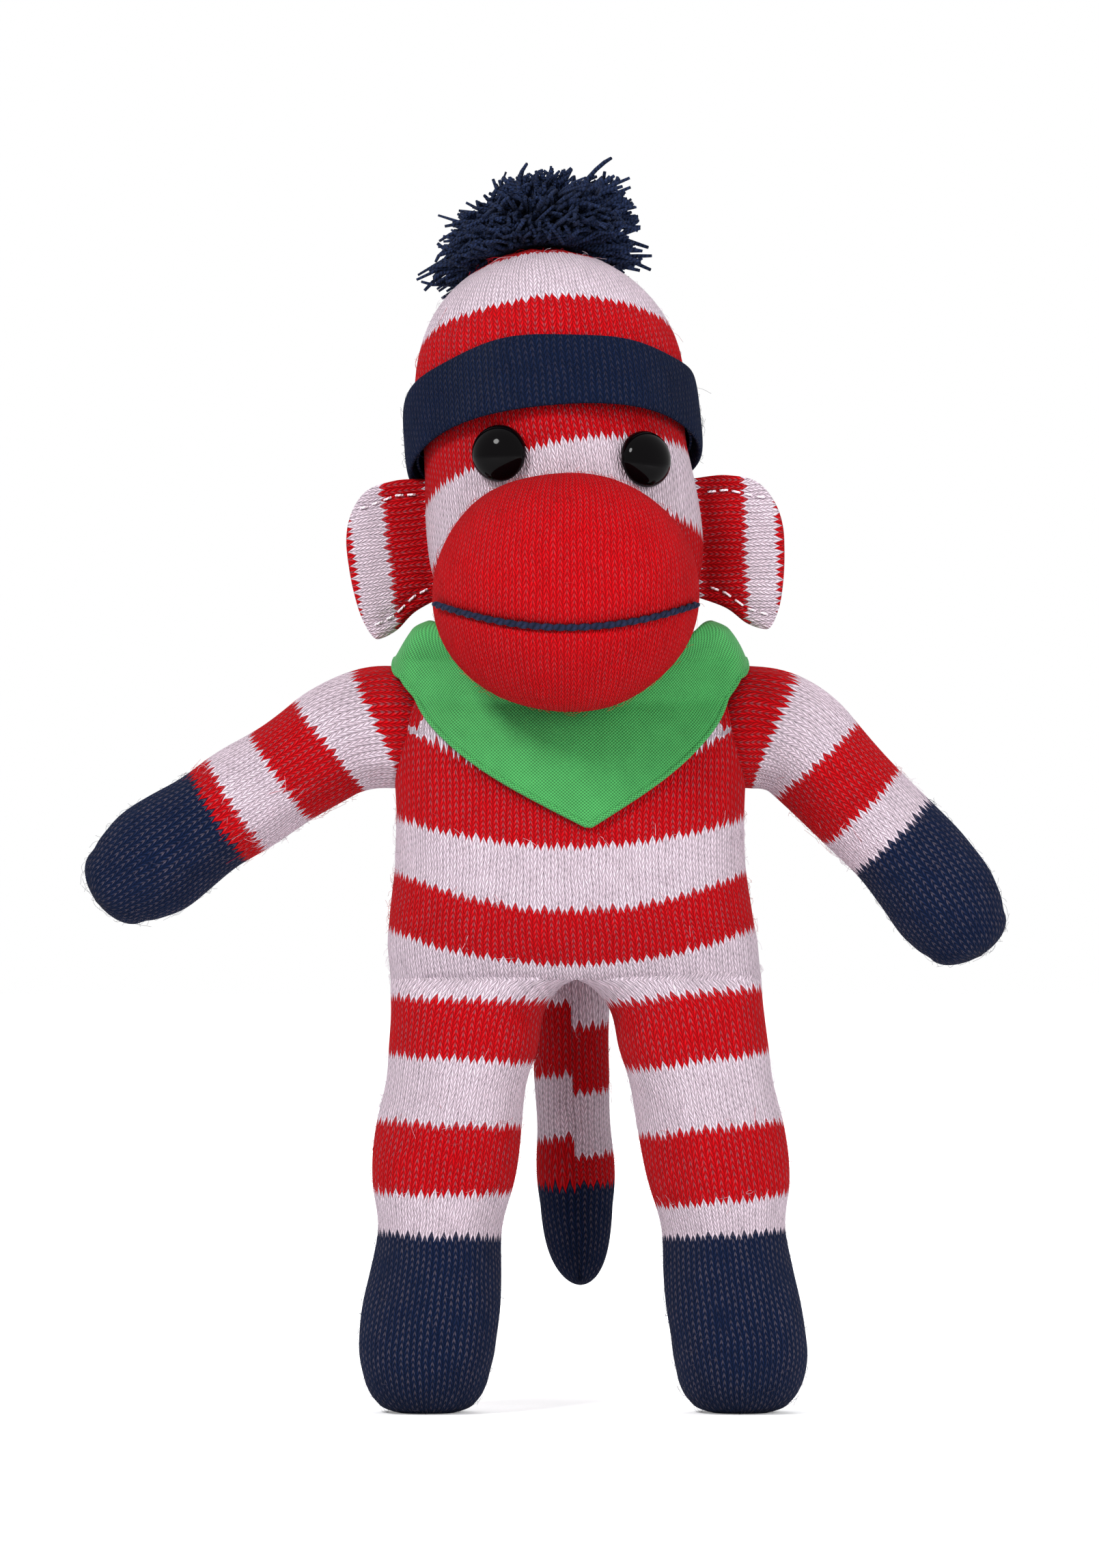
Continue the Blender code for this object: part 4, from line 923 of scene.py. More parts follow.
@dataclass
class Leg:
    """A stuffed tube of striped knit that runs straight on from the torso to a plain navy foot."""

    label: str
    hip_x: float
    foot_x: float
    outer_edges: tuple
    inner_edges: tuple
    counts: tuple = (3, 12, 22, 32, 38)
    width: float = 0.0246
    depth: float = 0.0240
    squareness: float = 2.25
    foot_height: float = 0.0308
    sole_cut: float = 0.0005
    hip_squareness: float = 3.4
    crotch_reach: float = 0.0026
    crotch_height: float = 0.0055
    overlaps: tuple = (0.0024, 0.0019, 0.0014, 0.0009, 0.0004)
    hip_fade: float = 0.0070
    sunk: float = 0.0003
    least_radius: float = 0.004
    drawn_reach: tuple = (1.12, 1.28)
    levels: tuple = (0.0, 0.07, 0.165, 0.25, 0.34, 0.46, 0.589, 0.68, 0.75, 0.84, 0.90, 0.935, 0.965, 0.985, 1.0)
    girths: tuple = (1.205, 1.08, 1.05, 1.01, 1.02, 1.01, 0.90, 0.925, 0.955, 0.965, 0.91, 0.84, 0.72, 0.56, 0.22)
    leans: tuple = (0.0, 0.16, 0.27, 0.40, 0.53, 0.66, 0.76, 0.83, 0.90, 0.98, 1.0, 1.0, 1.0, 1.0, 1.0)
    depths: tuple = (1.012, 1.0, 0.98, 0.97, 0.97, 0.95, 0.92, 0.95, 0.97, 0.96, 0.90, 0.80, 0.64, 0.45, 0.18)
    columns: int = 84

    def build(self, torso: Torso) -> list[bpy.types.Object]:
        """Makes the leg and its foot, which share the row of points where they meet. The cover starts on the torso and
        follows its outline down to the hip, and both covers arch together at the crotch.

        Args:
            torso: The body that the leg runs on from.

        Returns:
            The pieces.
        """
        whole = HIP_HEIGHT + self.sole_cut
        ankle = 1 - (self.foot_height + self.sole_cut) / whole
        shin = np.linspace(0, ankle, 44)
        foot = ankle + (HIP_HEIGHT / whole - ankle) * np.sin(np.linspace(0, math.pi / 2, 34))
        share = np.concatenate([shin, foot[1:]])
        girth, depth, lean = (curve_through(self.levels, t, share) for t in (self.girths, self.depths, self.leans))
        spin, across, along = round_table(self.columns, self.squareness, math.pi / 2)
        side = (1 + np.sign(self.hip_x) * across) / 2
        below = whole * share
        # Near the hip the rings are squarer, and their inner side reaches to the middle by a quarter of an ellipse.
        square = clamp(1 - below / 0.009)[:, None] ** 2
        _, squarer, deeper = round_table(self.columns, self.hip_squareness, math.pi / 2)
        across, along = across * (1 - square) + squarer * square, along * (1 - square) + deeper * square
        arch = self.crotch_reach * (1 - np.sqrt(1 - clamp(1 - below / self.crotch_height) ** 2))
        centre = self.hip_x + (self.foot_x - self.hip_x) * lean
        x = centre[:, None] + (girth * self.width / 2)[:, None] * across
        x = x - np.sign(self.hip_x) * arch[:, None] * clamp(-np.sign(self.hip_x) * across)
        y = (depth * self.depth / 2)[:, None] * along
        points = np.stack([x, y, np.broadcast_to((HIP_HEIGHT - whole * share)[:, None], x.shape)], axis=-1)
        free = clamp(share / 0.2) * clamp((1 - share) / 0.10)
        swell = lumps(points, 0.019, 0.0005, 5.0 + self.hip_x * 90)
        points = puffed(points, (swell - 0.0001) * free[:, None])
        # Above the hip the cover rises out of the torso's surface: 0.3 mm inside it on top and flush at the hip.
        over = np.repeat(points[:1], len(self.overlaps), axis=0)
        over[..., 2] = HIP_HEIGHT + np.array(self.overlaps)[:, None]
        points = np.concatenate([over, points])
        # Round the hip it is drawn onto the torso's outline, along lines out of its middle: a point that lies at a
        # share s of the outline moves by 1/s, all the way at the hip and not at all below the fade.
        rise = points[:, 0, 2] - HIP_HEIGHT
        _, wide, deep = torso.at(clamp(rise) / TORSO_HEIGHT)
        aside = points[..., 0] - torso.hip_shift
        terms = (np.abs(aside) / wide[:, None], np.abs(points[..., 1]) / deep[:, None])
        reach = sum(np.maximum(term, 1e-6) ** torso.squareness for term in terms) ** (-1 / torso.squareness)
        sunk = -self.sunk * clamp(rise / self.overlaps[0])
        radius = np.maximum(np.hypot(aside, points[..., 1]) * reach, self.least_radius)
        fade = clamp(1 + rise / self.hip_fade) ** 2
        near = clamp((self.drawn_reach[1] - reach) / (self.drawn_reach[1] - self.drawn_reach[0]))
        drawn = (reach * (1 + sunk[:, None] / radius) - 1) * near * fade[:, None]
        points[..., 0] = torso.hip_shift + aside * (1 + drawn)
        points[..., 1] *= 1 + drawn
        points[..., 2] = np.maximum(points[..., 2], 0.00002)
        edges = np.stack([-(i + (o - i) * side) for o, i in zip(self.outer_edges, self.inner_edges)])
        edges = np.broadcast_to(edges[:, None, :], (len(self.counts), *points.shape[:2]))
        courses = course_of(-points[..., 2], edges, self.counts)
        stripes = (Yarn.WHITE, Yarn.RED, Yarn.WHITE, Yarn.RED, Yarn.WHITE, Yarn.NAVY)
        knit = Knit(f"{self.label}_leg_knit", tuple(zip((0, *self.counts), stripes)), 75).build()
        cloth = round_cloth(points, WALE, courses)
        top = np.array([self.hip_x, 0, HIP_HEIGHT + self.overlaps[0]])
        joined = len(shin) + len(self.overlaps)
        leg = grid_mesh(f"{self.label}_leg_knit", points[:joined], cloth[:joined], top)
        leg.data.materials.append(knit)
        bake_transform(leg)
        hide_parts(f"leg_{self.label}")
        sole = np.array([self.foot_x, 0, points[-1, 0, 2]])
        sock = grid_mesh(f"{self.label}_foot_knit", points[joined - 1 :], cloth[joined - 1 :], None, sole)
        dress(sock, knit, Slot.NAVY_KNIT, f"leg_{self.label}", f"foot_{self.label}", fill=0.8)
        return [leg, sock]


@dataclass
class Tail:
    """A thin stuffed tube that comes out of the lower back and hangs between the legs, its seam at the front."""

    width: float = 0.0134
    depth: float = 0.0124
    drop: float = 0.0605
    bend: float = 0.0070
    seat_height: float = 0.0130
    tip_length: float = 0.0190
    sway: float = 0.0018
    levels: tuple = (0.0, 0.12, 0.30, 0.60, 0.80, 0.90, 0.96, 1.0)
    girths: tuple = (0.92, 0.98, 1.0, 1.0, 0.97, 0.80, 0.52, 0.0)
    right_edges: tuple = (0.0838, 0.0656, 0.0541, 0.0432, 0.0385)
    left_edges: tuple = (0.0824, 0.0701, 0.0578, 0.0467, 0.0377)
    counts: tuple = (4, 15, 25, 35, 40)
    columns: int = 56

    def line(self, torso: Torso, share: np.ndarray) -> tuple[np.ndarray, np.ndarray]:
        """The tail's middle line: a quarter of a circle out of its seat, then straight down with a slight sway.

        Args:
            torso: The body that carries the tail.
            share: Shares of the tail's length.

        Returns:
            The points, and the angle that the line has turned by.
        """
        low, high = (self.seat_height + side * self.depth / 2 for side in (-1, 1))
        back = torso.at(clamp(np.linspace(low, high, 7) / TORSO_HEIGHT))[2].max()
        seat = np.array([0, back + 0.0003, HIP_HEIGHT + self.seat_height])
        quarter = self.bend * math.pi / 2
        run = share * (quarter + self.drop)
        turn = np.minimum(run / self.bend, math.pi / 2)
        fall = self.bend * (1 - np.cos(turn)) + np.maximum(0, run - quarter)
        return seat + np.stack([self.sway * share**2, self.bend * np.sin(turn), -fall], axis=-1), turn

    def build(self, torso: Torso) -> list[bpy.types.Object]:
        """Makes the tail and its tip, which share the row of points where they meet.

        Args:
            torso: The body that carries the tail.

        Returns:
            The pieces.
        """
        whole = self.bend * math.pi / 2 + self.drop
        split = 1 - self.tip_length / whole
        upper = np.linspace(0, split, 52)
        lower = split + (1 - split) * np.sin(np.linspace(0, math.pi / 2, 25))[1:-1]
        share = np.concatenate([upper, lower])
        line, turn = self.line(torso, share)
        girth = curve_through(self.levels, self.girths, share)
        reach = clamp((share - self.levels[-4]) / (1 - self.levels[-4]))
        girth = np.where(share > self.levels[-4], self.girths[-4] * np.sqrt(1 - reach**2), girth)
        spin, across, along = round_table(self.columns, 2.0, -math.pi / 2)
        thin = np.stack([np.zeros_like(turn), np.sin(turn), np.cos(turn)], axis=-1)
        points = line[:, None] + (girth * self.width / 2)[:, None, None] * across[None, :, None] * np.array([1.0, 0, 0])
        points = points + (girth * self.depth / 2)[:, None, None] * along[None, :, None] * thin[:, None]
        # The seam draws the front in along a narrow groove.
        groove = np.exp(-((np.minimum(spin - spin[0], 2 * math.pi - (spin - spin[0])) / 0.16) ** 2))
        swell = lumps(points, 0.013, 0.0003, 7.0) * clamp(share / 0.1)[:, None]
        points = puffed(points, swell - 0.0007 * groove[None, :] * (girth[:, None] > 0.4) - 0.0001)
        part = np.linspace(0, 1, self.columns)[None, :]
        edges = np.stack([-(r + (l - r) * part) for r, l in zip(self.right_edges, self.left_edges)])
        fall = -line[:, None, 2] - 0.0025 * (1 - np.sin(turn))[:, None]
        courses = course_of(np.broadcast_to(fall, points.shape[:2]), edges, self.counts)
        stripes = (Yarn.RED, Yarn.WHITE, Yarn.RED, Yarn.WHITE, Yarn.RED, Yarn.NAVY)
        knit = Knit("tail_knit", tuple(zip((0, *self.counts), stripes)), 64).build()
        across_cloth = np.broadcast_to(np.arange(self.columns + 1) * 34 / self.columns, (len(share), self.columns + 1))
        down_cloth = np.concatenate([courses, courses[:, -1:] + (courses[:, -1:] - courses[:, -2:-1])], axis=1)
        cloth = np.stack([across_cloth, down_cloth], axis=-1)
        # The root goes on into the back, where it is sewn in.
        joined = len(upper)
        inward = np.array([0, 0.0035, 0])
        rooted = np.concatenate([points[:1] - inward, points[:1] - inward / 2, points[:joined]])
        rooted_cloth = np.concatenate([cloth[:1] - (0, 3), cloth[:1] - (0, 1.5), cloth[:joined]])
        tail = grid_mesh("tail_knit", rooted, rooted_cloth, line[0] - inward)
        dress(tail, knit, Slot.RED_KNIT, "tail", "tail", fill=0.8)
        end, _ = self.line(torso, np.array([1.0]))
        tip = grid_mesh("tail_tip_knit", points[joined - 1 :], cloth[joined - 1 :], None, end[0])
        dress(tip, knit, Slot.NAVY_KNIT, "tail", "tail_tip", fill=0.8)
        return [tail, tip]


# ---------------------------------------------------------------- head


@dataclass
class Head:
    """The stuffed head: a striped knit ball that leans back and to one side under its hat."""

    bottom: float = 0.0030
    width: float = 0.0474
    depth: float = 0.0448
    rise: float = 0.0315
    tilt: float = math.radians(22.0)
    roll: float = math.radians(5.0)
    shift_x: float = -0.0026
    forward: float = 0.0012
    levels: tuple = (0.0, 0.10, 0.22, 0.36, 0.55, 0.78, 1.0)
    girths: tuple = (0.46, 0.76, 0.915, 0.98, 1.005, 0.995, 0.965)
    crown_share: float = 0.945
    cuff_height: float = 0.0130
    dome: float = 0.0246
    columns: int = 120

    def axes(self, share: float) -> np.ndarray:
        """Unit directions across, along and up the head's spine, turned by a share of the tilt and then the roll.

        Args:
            share: How much of the lean is there.

        Returns:
            Three directions, as the rows of a table.
        """
        a, b = self.tilt * share, self.roll * share
        tilt = np.array([[1, 0, 0], [0, math.cos(a), math.sin(a)], [0, -math.sin(a), math.cos(a)]])
        roll = np.array([[math.cos(b), 0, -math.sin(b)], [0, 1, 0], [math.sin(b), 0, math.cos(b)]])
        return (roll @ tilt).T

    def centre(self, share: float) -> np.ndarray:
        """A point of the head's spine, from its underside up to the hat's brim."""
        height = HIP_HEIGHT + TORSO_HEIGHT + self.bottom + self.rise * share
        return np.array([self.shift_x * share**2, NECK_ABOUT_MIDDLE[1] - self.forward * share, height])

    def rings(self, grow: float = 0.0, count: int = 46) -> tuple[np.ndarray, np.ndarray]:
        """Rings from the underside up to the hat's brim and on over the dome, each an ellipse square to the spine.

        Args:
            grow: How far they stand off the head.
            count: How many lie below the brim.

        Returns:
            The rings, and the point on top.
        """
        _, c, s = round_table(self.columns, 2.0, math.pi / 2)
        made = []
        for share in np.linspace(0, 1, count)[:-1]:
            girth = float(curve_through(self.levels, self.girths, share))
            made.append(self.ring(self.centre(share), self.axes(share), girth, grow, c, s))
        axes = self.axes(1.0)
        for share in np.linspace(0, 1, 8):
            girth = self.girths[-1] + (self.crown_share - self.girths[-1]) * share
            made.append(self.ring(self.centre(1.0) + axes[2] * self.cuff_height * share, axes, girth, grow, c, s))
        top = self.centre(1.0) + axes[2] * self.cuff_height
        for turn in np.linspace(0, math.pi / 2, 30)[1:-1]:
            place = top + axes[2] * (self.dome + grow) * math.sin(turn)
            made.append(self.ring(place, axes, self.crown_share * math.cos(turn), grow * math.cos(turn), c, s))
        return np.array(made), top + axes[2] * (self.dome + grow)

    def ring(
        self, place: np.ndarray, axes: np.ndarray, girth: float, grow: float, c: np.ndarray, s: np.ndarray
    ) -> np.ndarray:
        """One ellipse about a place, in the plane of the first two axes."""
        wide, deep = girth * self.width / 2 + grow, girth * self.depth / 2 + grow
        return place + np.outer(c * wide, axes[0]) + np.outer(s * deep, axes[1])

    def front_at(self, x: float, height: float) -> tuple[np.ndarray, np.ndarray]:
        """Where a level line from the front meets the head, and the way that the head faces there: the nearest of the
        rings' points at that x and height, weighted by how near they are.

        Args:
            x: The place across.
            height: The place up.

        Returns:
            The point and its outward direction.
        """
        grid, _ = self.rings(0.0, 90)
        out = np.cross(np.roll(grid, -1, axis=1) - np.roll(grid, 1, axis=1), np.gradient(grid, axis=0))
        out = out / np.maximum(np.linalg.norm(out, axis=2, keepdims=True), 1e-12)
        out = out * np.sign((out * (grid - grid.mean(axis=1, keepdims=True))).sum(axis=2, keepdims=True))
        away = np.hypot(grid[..., 0] - x, grid[..., 2] - height) + (grid[..., 1] > 0)
        near = np.exp(-((away / 0.0007) ** 2))
        near = near / near.sum()
        return (grid * near[..., None]).sum(axis=(0, 1)), (out * near[..., None]).sum(axis=(0, 1))

    def build(self) -> list[bpy.types.Object]:
        """Makes the head's cover.

        Returns:
            The piece.
        """
        grid, _ = self.rings()
        keep = grid[: 46 + 5]
        keep = puffed(keep, lumps(keep, 0.021, 0.0004, 9.0) - 0.0001)
        x, y, z = keep[..., 0], keep[..., 1], keep[..., 2]
        # The stripes are level cuts through the head, tipped up at the front and to the right.
        tipped = z - 0.1603 - 0.19 * x * (np.abs(x) < 1) - 0.0077 * (-y / 0.0224)
        wider = 0.0032 * clamp(x / (self.width / 2))
        edges = np.stack([0 * z, 0.0112 + wider, 0.0235 + wider])
        courses = course_of(-tipped, edges, (20, 29, 40))
        stripes = ((0, Yarn.RED), (20, Yarn.WHITE), (29, Yarn.RED), (40, Yarn.WHITE))
        knit = Knit("red_and_white_head_knit", stripes, 60, open_loops=0.65).build()
        cloth = round_cloth(keep, WALE, courses)
        under = np.array([0, NECK_ABOUT_MIDDLE[1], HIP_HEIGHT + TORSO_HEIGHT + self.bottom])
        head = grid_mesh("head_knit", keep, cloth, under)
        dress(head, knit, Slot.RED_KNIT, "head", "head", fill=0.85)
        return [head]


@dataclass
class Muzzle:
    """The big stuffed snout: a plain red knit dome that bulges from the lower face, with a yarn mouth sewn across."""

    width: float = 0.0460
    height: float = 0.0414
    bulge: float = 0.0195
    neck: float = 0.0120
    drop: float = 0.0232
    forward: float = 0.0243
    x: float = -0.0008
    lift: float = 0.0044
    fullness: float = 0.86
    back_turn: float = math.radians(62.0)
    mouth_sag: float = 0.0047
    mouth_drop: float = 0.0016
    yarn: float = 0.0006
    ply_offset: float = 0.00024
    ply_twist: float = 0.0042
    columns: int = 132

    def centre(self, head: Head) -> np.ndarray:
        """The middle of the muzzle's widest ring."""
        return np.array([self.x, -self.forward, head.centre(1.0)[2] - self.drop])

    def mouth_at(self, across: np.ndarray) -> np.ndarray:
        """How far the mouth lies below the muzzle's middle, at a share of the way out: it sags by a parabola."""
        return self.mouth_drop + self.mouth_sag * (1 - across**2)

    def build(self, head: Head) -> list[bpy.types.Object]:
        """Makes the muzzle and its mouth.

        Args:
            head: The head that it sits on.

        Returns:
            The pieces.
        """
        back = np.linspace(-self.back_turn, 0, 13)[:-1]
        turn = np.concatenate([back, np.linspace(0, math.pi / 2, 62)[:-1]])
        scale = np.cos(turn) ** self.fullness
        lift = self.lift * np.maximum(0, -np.sin(turn))
        reach = np.where(turn > 0, self.bulge, self.neck)
        _, c, s = round_table(self.columns, 2.0, -math.pi / 2)
        wide = self.width / 2 * scale
        high = self.height / 2 * scale - lift
        x = wide[:, None] * c
        z = high[:, None] * s + lift[:, None]
        y = np.broadcast_to(-(reach * np.sin(turn))[:, None], x.shape)
        # The mouth yarn is pulled tight, so that the knit dips beside it and swells above and below.
        share = np.clip(x / (self.width / 2), -1, 1)
        off = z + self.mouth_at(share)
        front = clamp(turn / 0.35)[:, None]
        dip = 0.0011 * np.exp(-((off / 0.0011) ** 2)) - 0.0002 * np.exp(-(((off - 0.004) / 0.003) ** 2))
        crease = np.exp(-((off / 0.0022) ** 2))
        points = np.stack([x, y, z], axis=-1) + self.centre(head)
        points = puffed(points, (lumps(points, 0.019, 0.0003, 11.0) - 0.0002) * clamp(np.cos(turn) * 6)[:, None])
        points[..., 1] += front * (dip + 0.0003 * crease)
        # The knit is laid over the front: its coordinates are the lengths of the arcs that lead out from the nose.
        mean = (self.width + self.height) / 4
        arc = np.hypot(np.diff(mean * scale), np.diff(reach * np.sin(turn)))[::-1].cumsum()[::-1]
        arc = (np.append(arc, 0.0) + mean * scale[-1])[:, None] / mean
        arc_x = arc * self.width / 2 * c / WALE + 60
        arc_z = -arc * self.height / 2 * s / COURSE + 40
        cloth = np.stack([arc_x, arc_z], axis=-1)
        cloth = np.concatenate([cloth, cloth[:, :1]], axis=1)
        knit = Knit("plain_red_muzzle_knit", ((0, Yarn.RED),), 90, relief=0.00044, open_loops=0.26).build()
        nose = self.centre(head) - np.array([0, self.bulge, 0])
        muzzle = grid_mesh("muzzle_knit", points, cloth, None, nose, pole_cloth=np.array([60.0, 40.0]))
        dress(muzzle, knit, Slot.MUZZLE_KNIT, "head", "muzzle", fill=0.9)
        return [muzzle, self.mouth(head)]

    def mouth(self, head: Head) -> bpy.types.Object:
        """The mouth: two plies of navy yarn twisted about one line that lies on the muzzle from side to side.

        Args:
            head: The head that the muzzle sits on.

        Returns:
            The piece.
        """
        across = np.sin(np.linspace(-math.pi / 2, math.pi / 2, 241)) * 0.94
        stand = 0.0001
        down = self.mouth_at(across)
        high = self.height / 2
        out = clamp(np.hypot(across, down / high))
        turn = np.arccos(out ** (1 / self.fullness))
        flat = np.stack([across * (self.width / 2 + 0.0006), -(self.bulge + stand) * np.sin(turn), -down], axis=1)
        flat[:, 1] += 0.0010 * clamp(turn / 0.35)
        line = flat + self.centre(head)
        way = np.gradient(line, axis=0)
        way = way / np.linalg.norm(way, axis=1, keepdims=True)
        up = np.array([0.0, 0.0, 1.0])
        side = np.cross(way, up)
        side = side / np.linalg.norm(side, axis=1, keepdims=True)
        other = np.cross(side, way)
        run = np.concatenate([[0], np.linalg.norm(np.diff(line, axis=0), axis=1).cumsum()])
        spin = 2 * math.pi * run / self.ply_twist
        starts = (spin[:, None], spin[:, None] + math.pi)
        plies = [line + self.ply_offset * (np.cos(at) * side + np.sin(at) * other) for at in starts]
        mouth = many_threads("mouth_plies", np.array(plies), self.yarn * 0.64, 8)
        return dress(mouth, Finishes.get(Trim.MOUTH_YARN), Slot.NAVY_YARN, "head", "mouth_yarn")


@dataclass
class Eye:
    """A safety eye: a polished black dome with a small rolled rim, on a stem that goes into the head."""

    label: str
    x: float
    rise: float
    radius: float = 0.0049
    bulge: float = 0.0040
    rim: float = 0.0006
    stem: float = 0.0015
    stem_length: float = 0.0075

    def build(self, head: Head) -> list[bpy.types.Object]:
        """Makes the eye by carrying its profile round the way that the head faces.

        Args:
            head: The head that it sits on.

        Returns:
            The piece.
        """
        place, facing = head.front_at(self.x, head.centre(1.0)[2] + self.rise)
        facing = facing / np.linalg.norm(facing)
        across = np.cross(facing, np.array([0.0, 0.0, 1.0]))
        across = across / np.linalg.norm(across)
        up = np.cross(across, facing)
        turn = np.linspace(0, math.pi / 2, 24)[:-1]
        lip = np.linspace(-math.pi / 2, 0, 7)
        radius = np.concatenate(
            [[self.stem, self.stem], self.radius - 0.0006 + 0.0006 * np.cos(lip), self.radius * np.cos(turn[1:])]
        )
        out = np.concatenate(
            [
                [-self.stem_length, 0.0],
                self.rim + self.rim * np.sin(lip),
                self.rim + (self.bulge - self.rim) * np.sin(turn[1:]),
            ]
        )
        _, c, s = round_table(64)
        ring = c[:, None] * across + s[:, None] * up
        seat = place + facing * 0.0002
        points = seat + out[:, None, None] * facing + radius[:, None, None] * ring[None]
        cloth = np.zeros((len(out), 65, 2))
        eye = grid_mesh(f"{self.label}_eye_dome", points, cloth, points[0].mean(axis=0), seat + facing * self.bulge)
        return [dress(eye, Finishes.get(Trim.EYE), Slot.BLACK_PLASTIC, "head", f"eye_{self.label}")]


@dataclass
class Ear:
    """A flat padded flap of striped knit, sewn to the head's side along its straight edge."""

    side: int
    label: str
    drop: float
    counts: tuple
    bands: tuple
    reach: float = 0.0138
    height: float = 0.0268
    thickness: float = 0.0046
    droop: float = 0.0014
    outs: tuple = (-0.15, 0.30, 0.68, 0.92, 1.0, 0.98, 0.90, 0.74, 0.50, 0.24, -0.15)
    ups: tuple = (0.45, 0.49, 0.46, 0.31, 0.10, -0.14, -0.36, -0.49, -0.46, -0.37, -0.31)
    middle: float = 0.55
    root_share: float = 0.35
    stitch_inset: float = 0.0026

    def stitch_line(self, u: np.ndarray, end: int) -> np.ndarray:
        """Height of the running stitch at a distance out from the root: 2.6 mm inside the flap's edge.

        Args:
            u: Distances out from the root.
            end: 0 for the top edge, 1 for the bottom one.

        Returns:
            The heights above the root's middle.
        """
        outs, ups, inward = (self.outs[:3], self.ups[:3], -1) if end == 0 else (self.outs[:6:-1], self.ups[:6:-1], 1)
        edge = np.interp(u / self.reach, outs, ups) * self.height - self.droop * u / self.reach
        return edge + inward * self.stitch_inset

    def build(self) -> list[bpy.types.Object]:
        """Makes the flap from its outline, shrunk towards its middle in steps on both faces, and its edge stitches.

        Returns:
            The pieces.
        """
        joint = next(j for j in frame["joints"] if j["name"] == f"ear_{self.label}_fold")
        place = np.array(joint["pos_m"]) - MIDDLE
        up = np.array(joint["axis"]) * np.sign(joint["axis"][2])
        out = np.array([self.side * up[2], 0, -self.side * up[0]])
        back = np.array([0.0, 1.0, 0.0])
        steps = np.linspace(0, 1, len(self.outs))
        at = np.linspace(0, 1, 96)
        outward = curve_through(steps, self.outs, at) * self.reach
        upward = curve_through(steps, self.ups, at) * self.height - self.droop * (outward / self.reach)
        mid_out, mid_up = self.reach * self.middle, -self.droop * self.middle
        scale = np.cos(np.linspace(0, math.pi / 2, 17)[:-1]) ** 0.7
        scale = np.concatenate([scale[::-1], scale[1:]])
        face = np.concatenate([-np.ones(16), np.ones(15)])
        u = mid_out + (outward - mid_out) * scale[:, None]
        w = mid_up + (upward - mid_up) * scale[:, None]
        taper = self.root_share + (1 - self.root_share) * np.sin(clamp(u / (self.reach / 2)) * math.pi / 2)
        puff = np.sqrt(clamp(1 - scale**4))[:, None]
        # A running stitch 2.6 mm inside the top and bottom edges quilts the flap.
        quilt = sum(np.exp(-(((w - self.stitch_line(u, end)) / 0.0009) ** 2)) for end in (0, 1))
        v = face[:, None] * self.thickness / 2 * puff * taper * (1 - 0.38 * quilt) * 0.96
        points = place + u[..., None] * out + w[..., None] * up + v[..., None] * back
        run = self.reach - u
        edges = np.stack([np.full(run.shape, edge) for edge in self.bands])
        courses = course_of(run, edges, self.counts)
        cloth = np.stack([w / WALE + 30, courses], axis=-1)
        cloth = np.concatenate([cloth, cloth[:, :1]], axis=1)
        stripes = tuple(zip((0, *self.counts), (Yarn.RED, Yarn.WHITE, Yarn.RED, Yarn.WHITE)))
        knit = Knit(f"{self.label}_ear_knit", stripes, 40).build()
        poles = [place + out * mid_out + up * mid_up + back * f * self.thickness * 0.48 for f in (-1, 1)]
        middle_course = course_of(np.array(self.reach - mid_out), np.array(self.bands), self.counts)
        flat = np.array([mid_up / WALE + 30, middle_course])
        ear = grid_mesh(f"{self.label}_ear_knit", points, cloth, *poles, pole_cloth=flat)
        dress(ear, knit, Slot.RED_KNIT, f"ear_{self.label}", f"ear_{self.label}", fill=0.35)
        # Each stitch is a short yarn that dips into the knit at both ends, on the flap's front and on its back.
        starts = np.linspace(0.0008, 0.0092, 5)[None, None, :, None]
        part = np.linspace(0, 1, 5)[None, None, None, :]
        end = np.array([0, 1])[:, None, None, None]
        face = np.array([-1, 1])[None, :, None, None]
        u = starts + part * 0.0013 + 0 * face + 0 * end
        w = np.where(end == 0, self.stitch_line(u, 0), self.stitch_line(u, 1))
        thick = self.root_share + (1 - self.root_share) * np.sin(clamp(u / (self.reach / 2)) * math.pi / 2)
        v = face * (self.thickness * 0.25 * thick + 0.0001 + 0.0003 * np.sin(math.pi * part))
        paths = place + u[..., None] * out + w[..., None] * up + v[..., None] * back
        stitch = many_threads(f"{self.label}_ear_stitches", paths.reshape(-1, 5, 3), 0.00021, 6)
        dress(stitch, Finishes.get(Trim.WHITE_THREAD), Slot.WHITE_KNIT, f"ear_{self.label}")
        return [ear, stitch]


# ---------------------------------------------------------------- hat and bandana


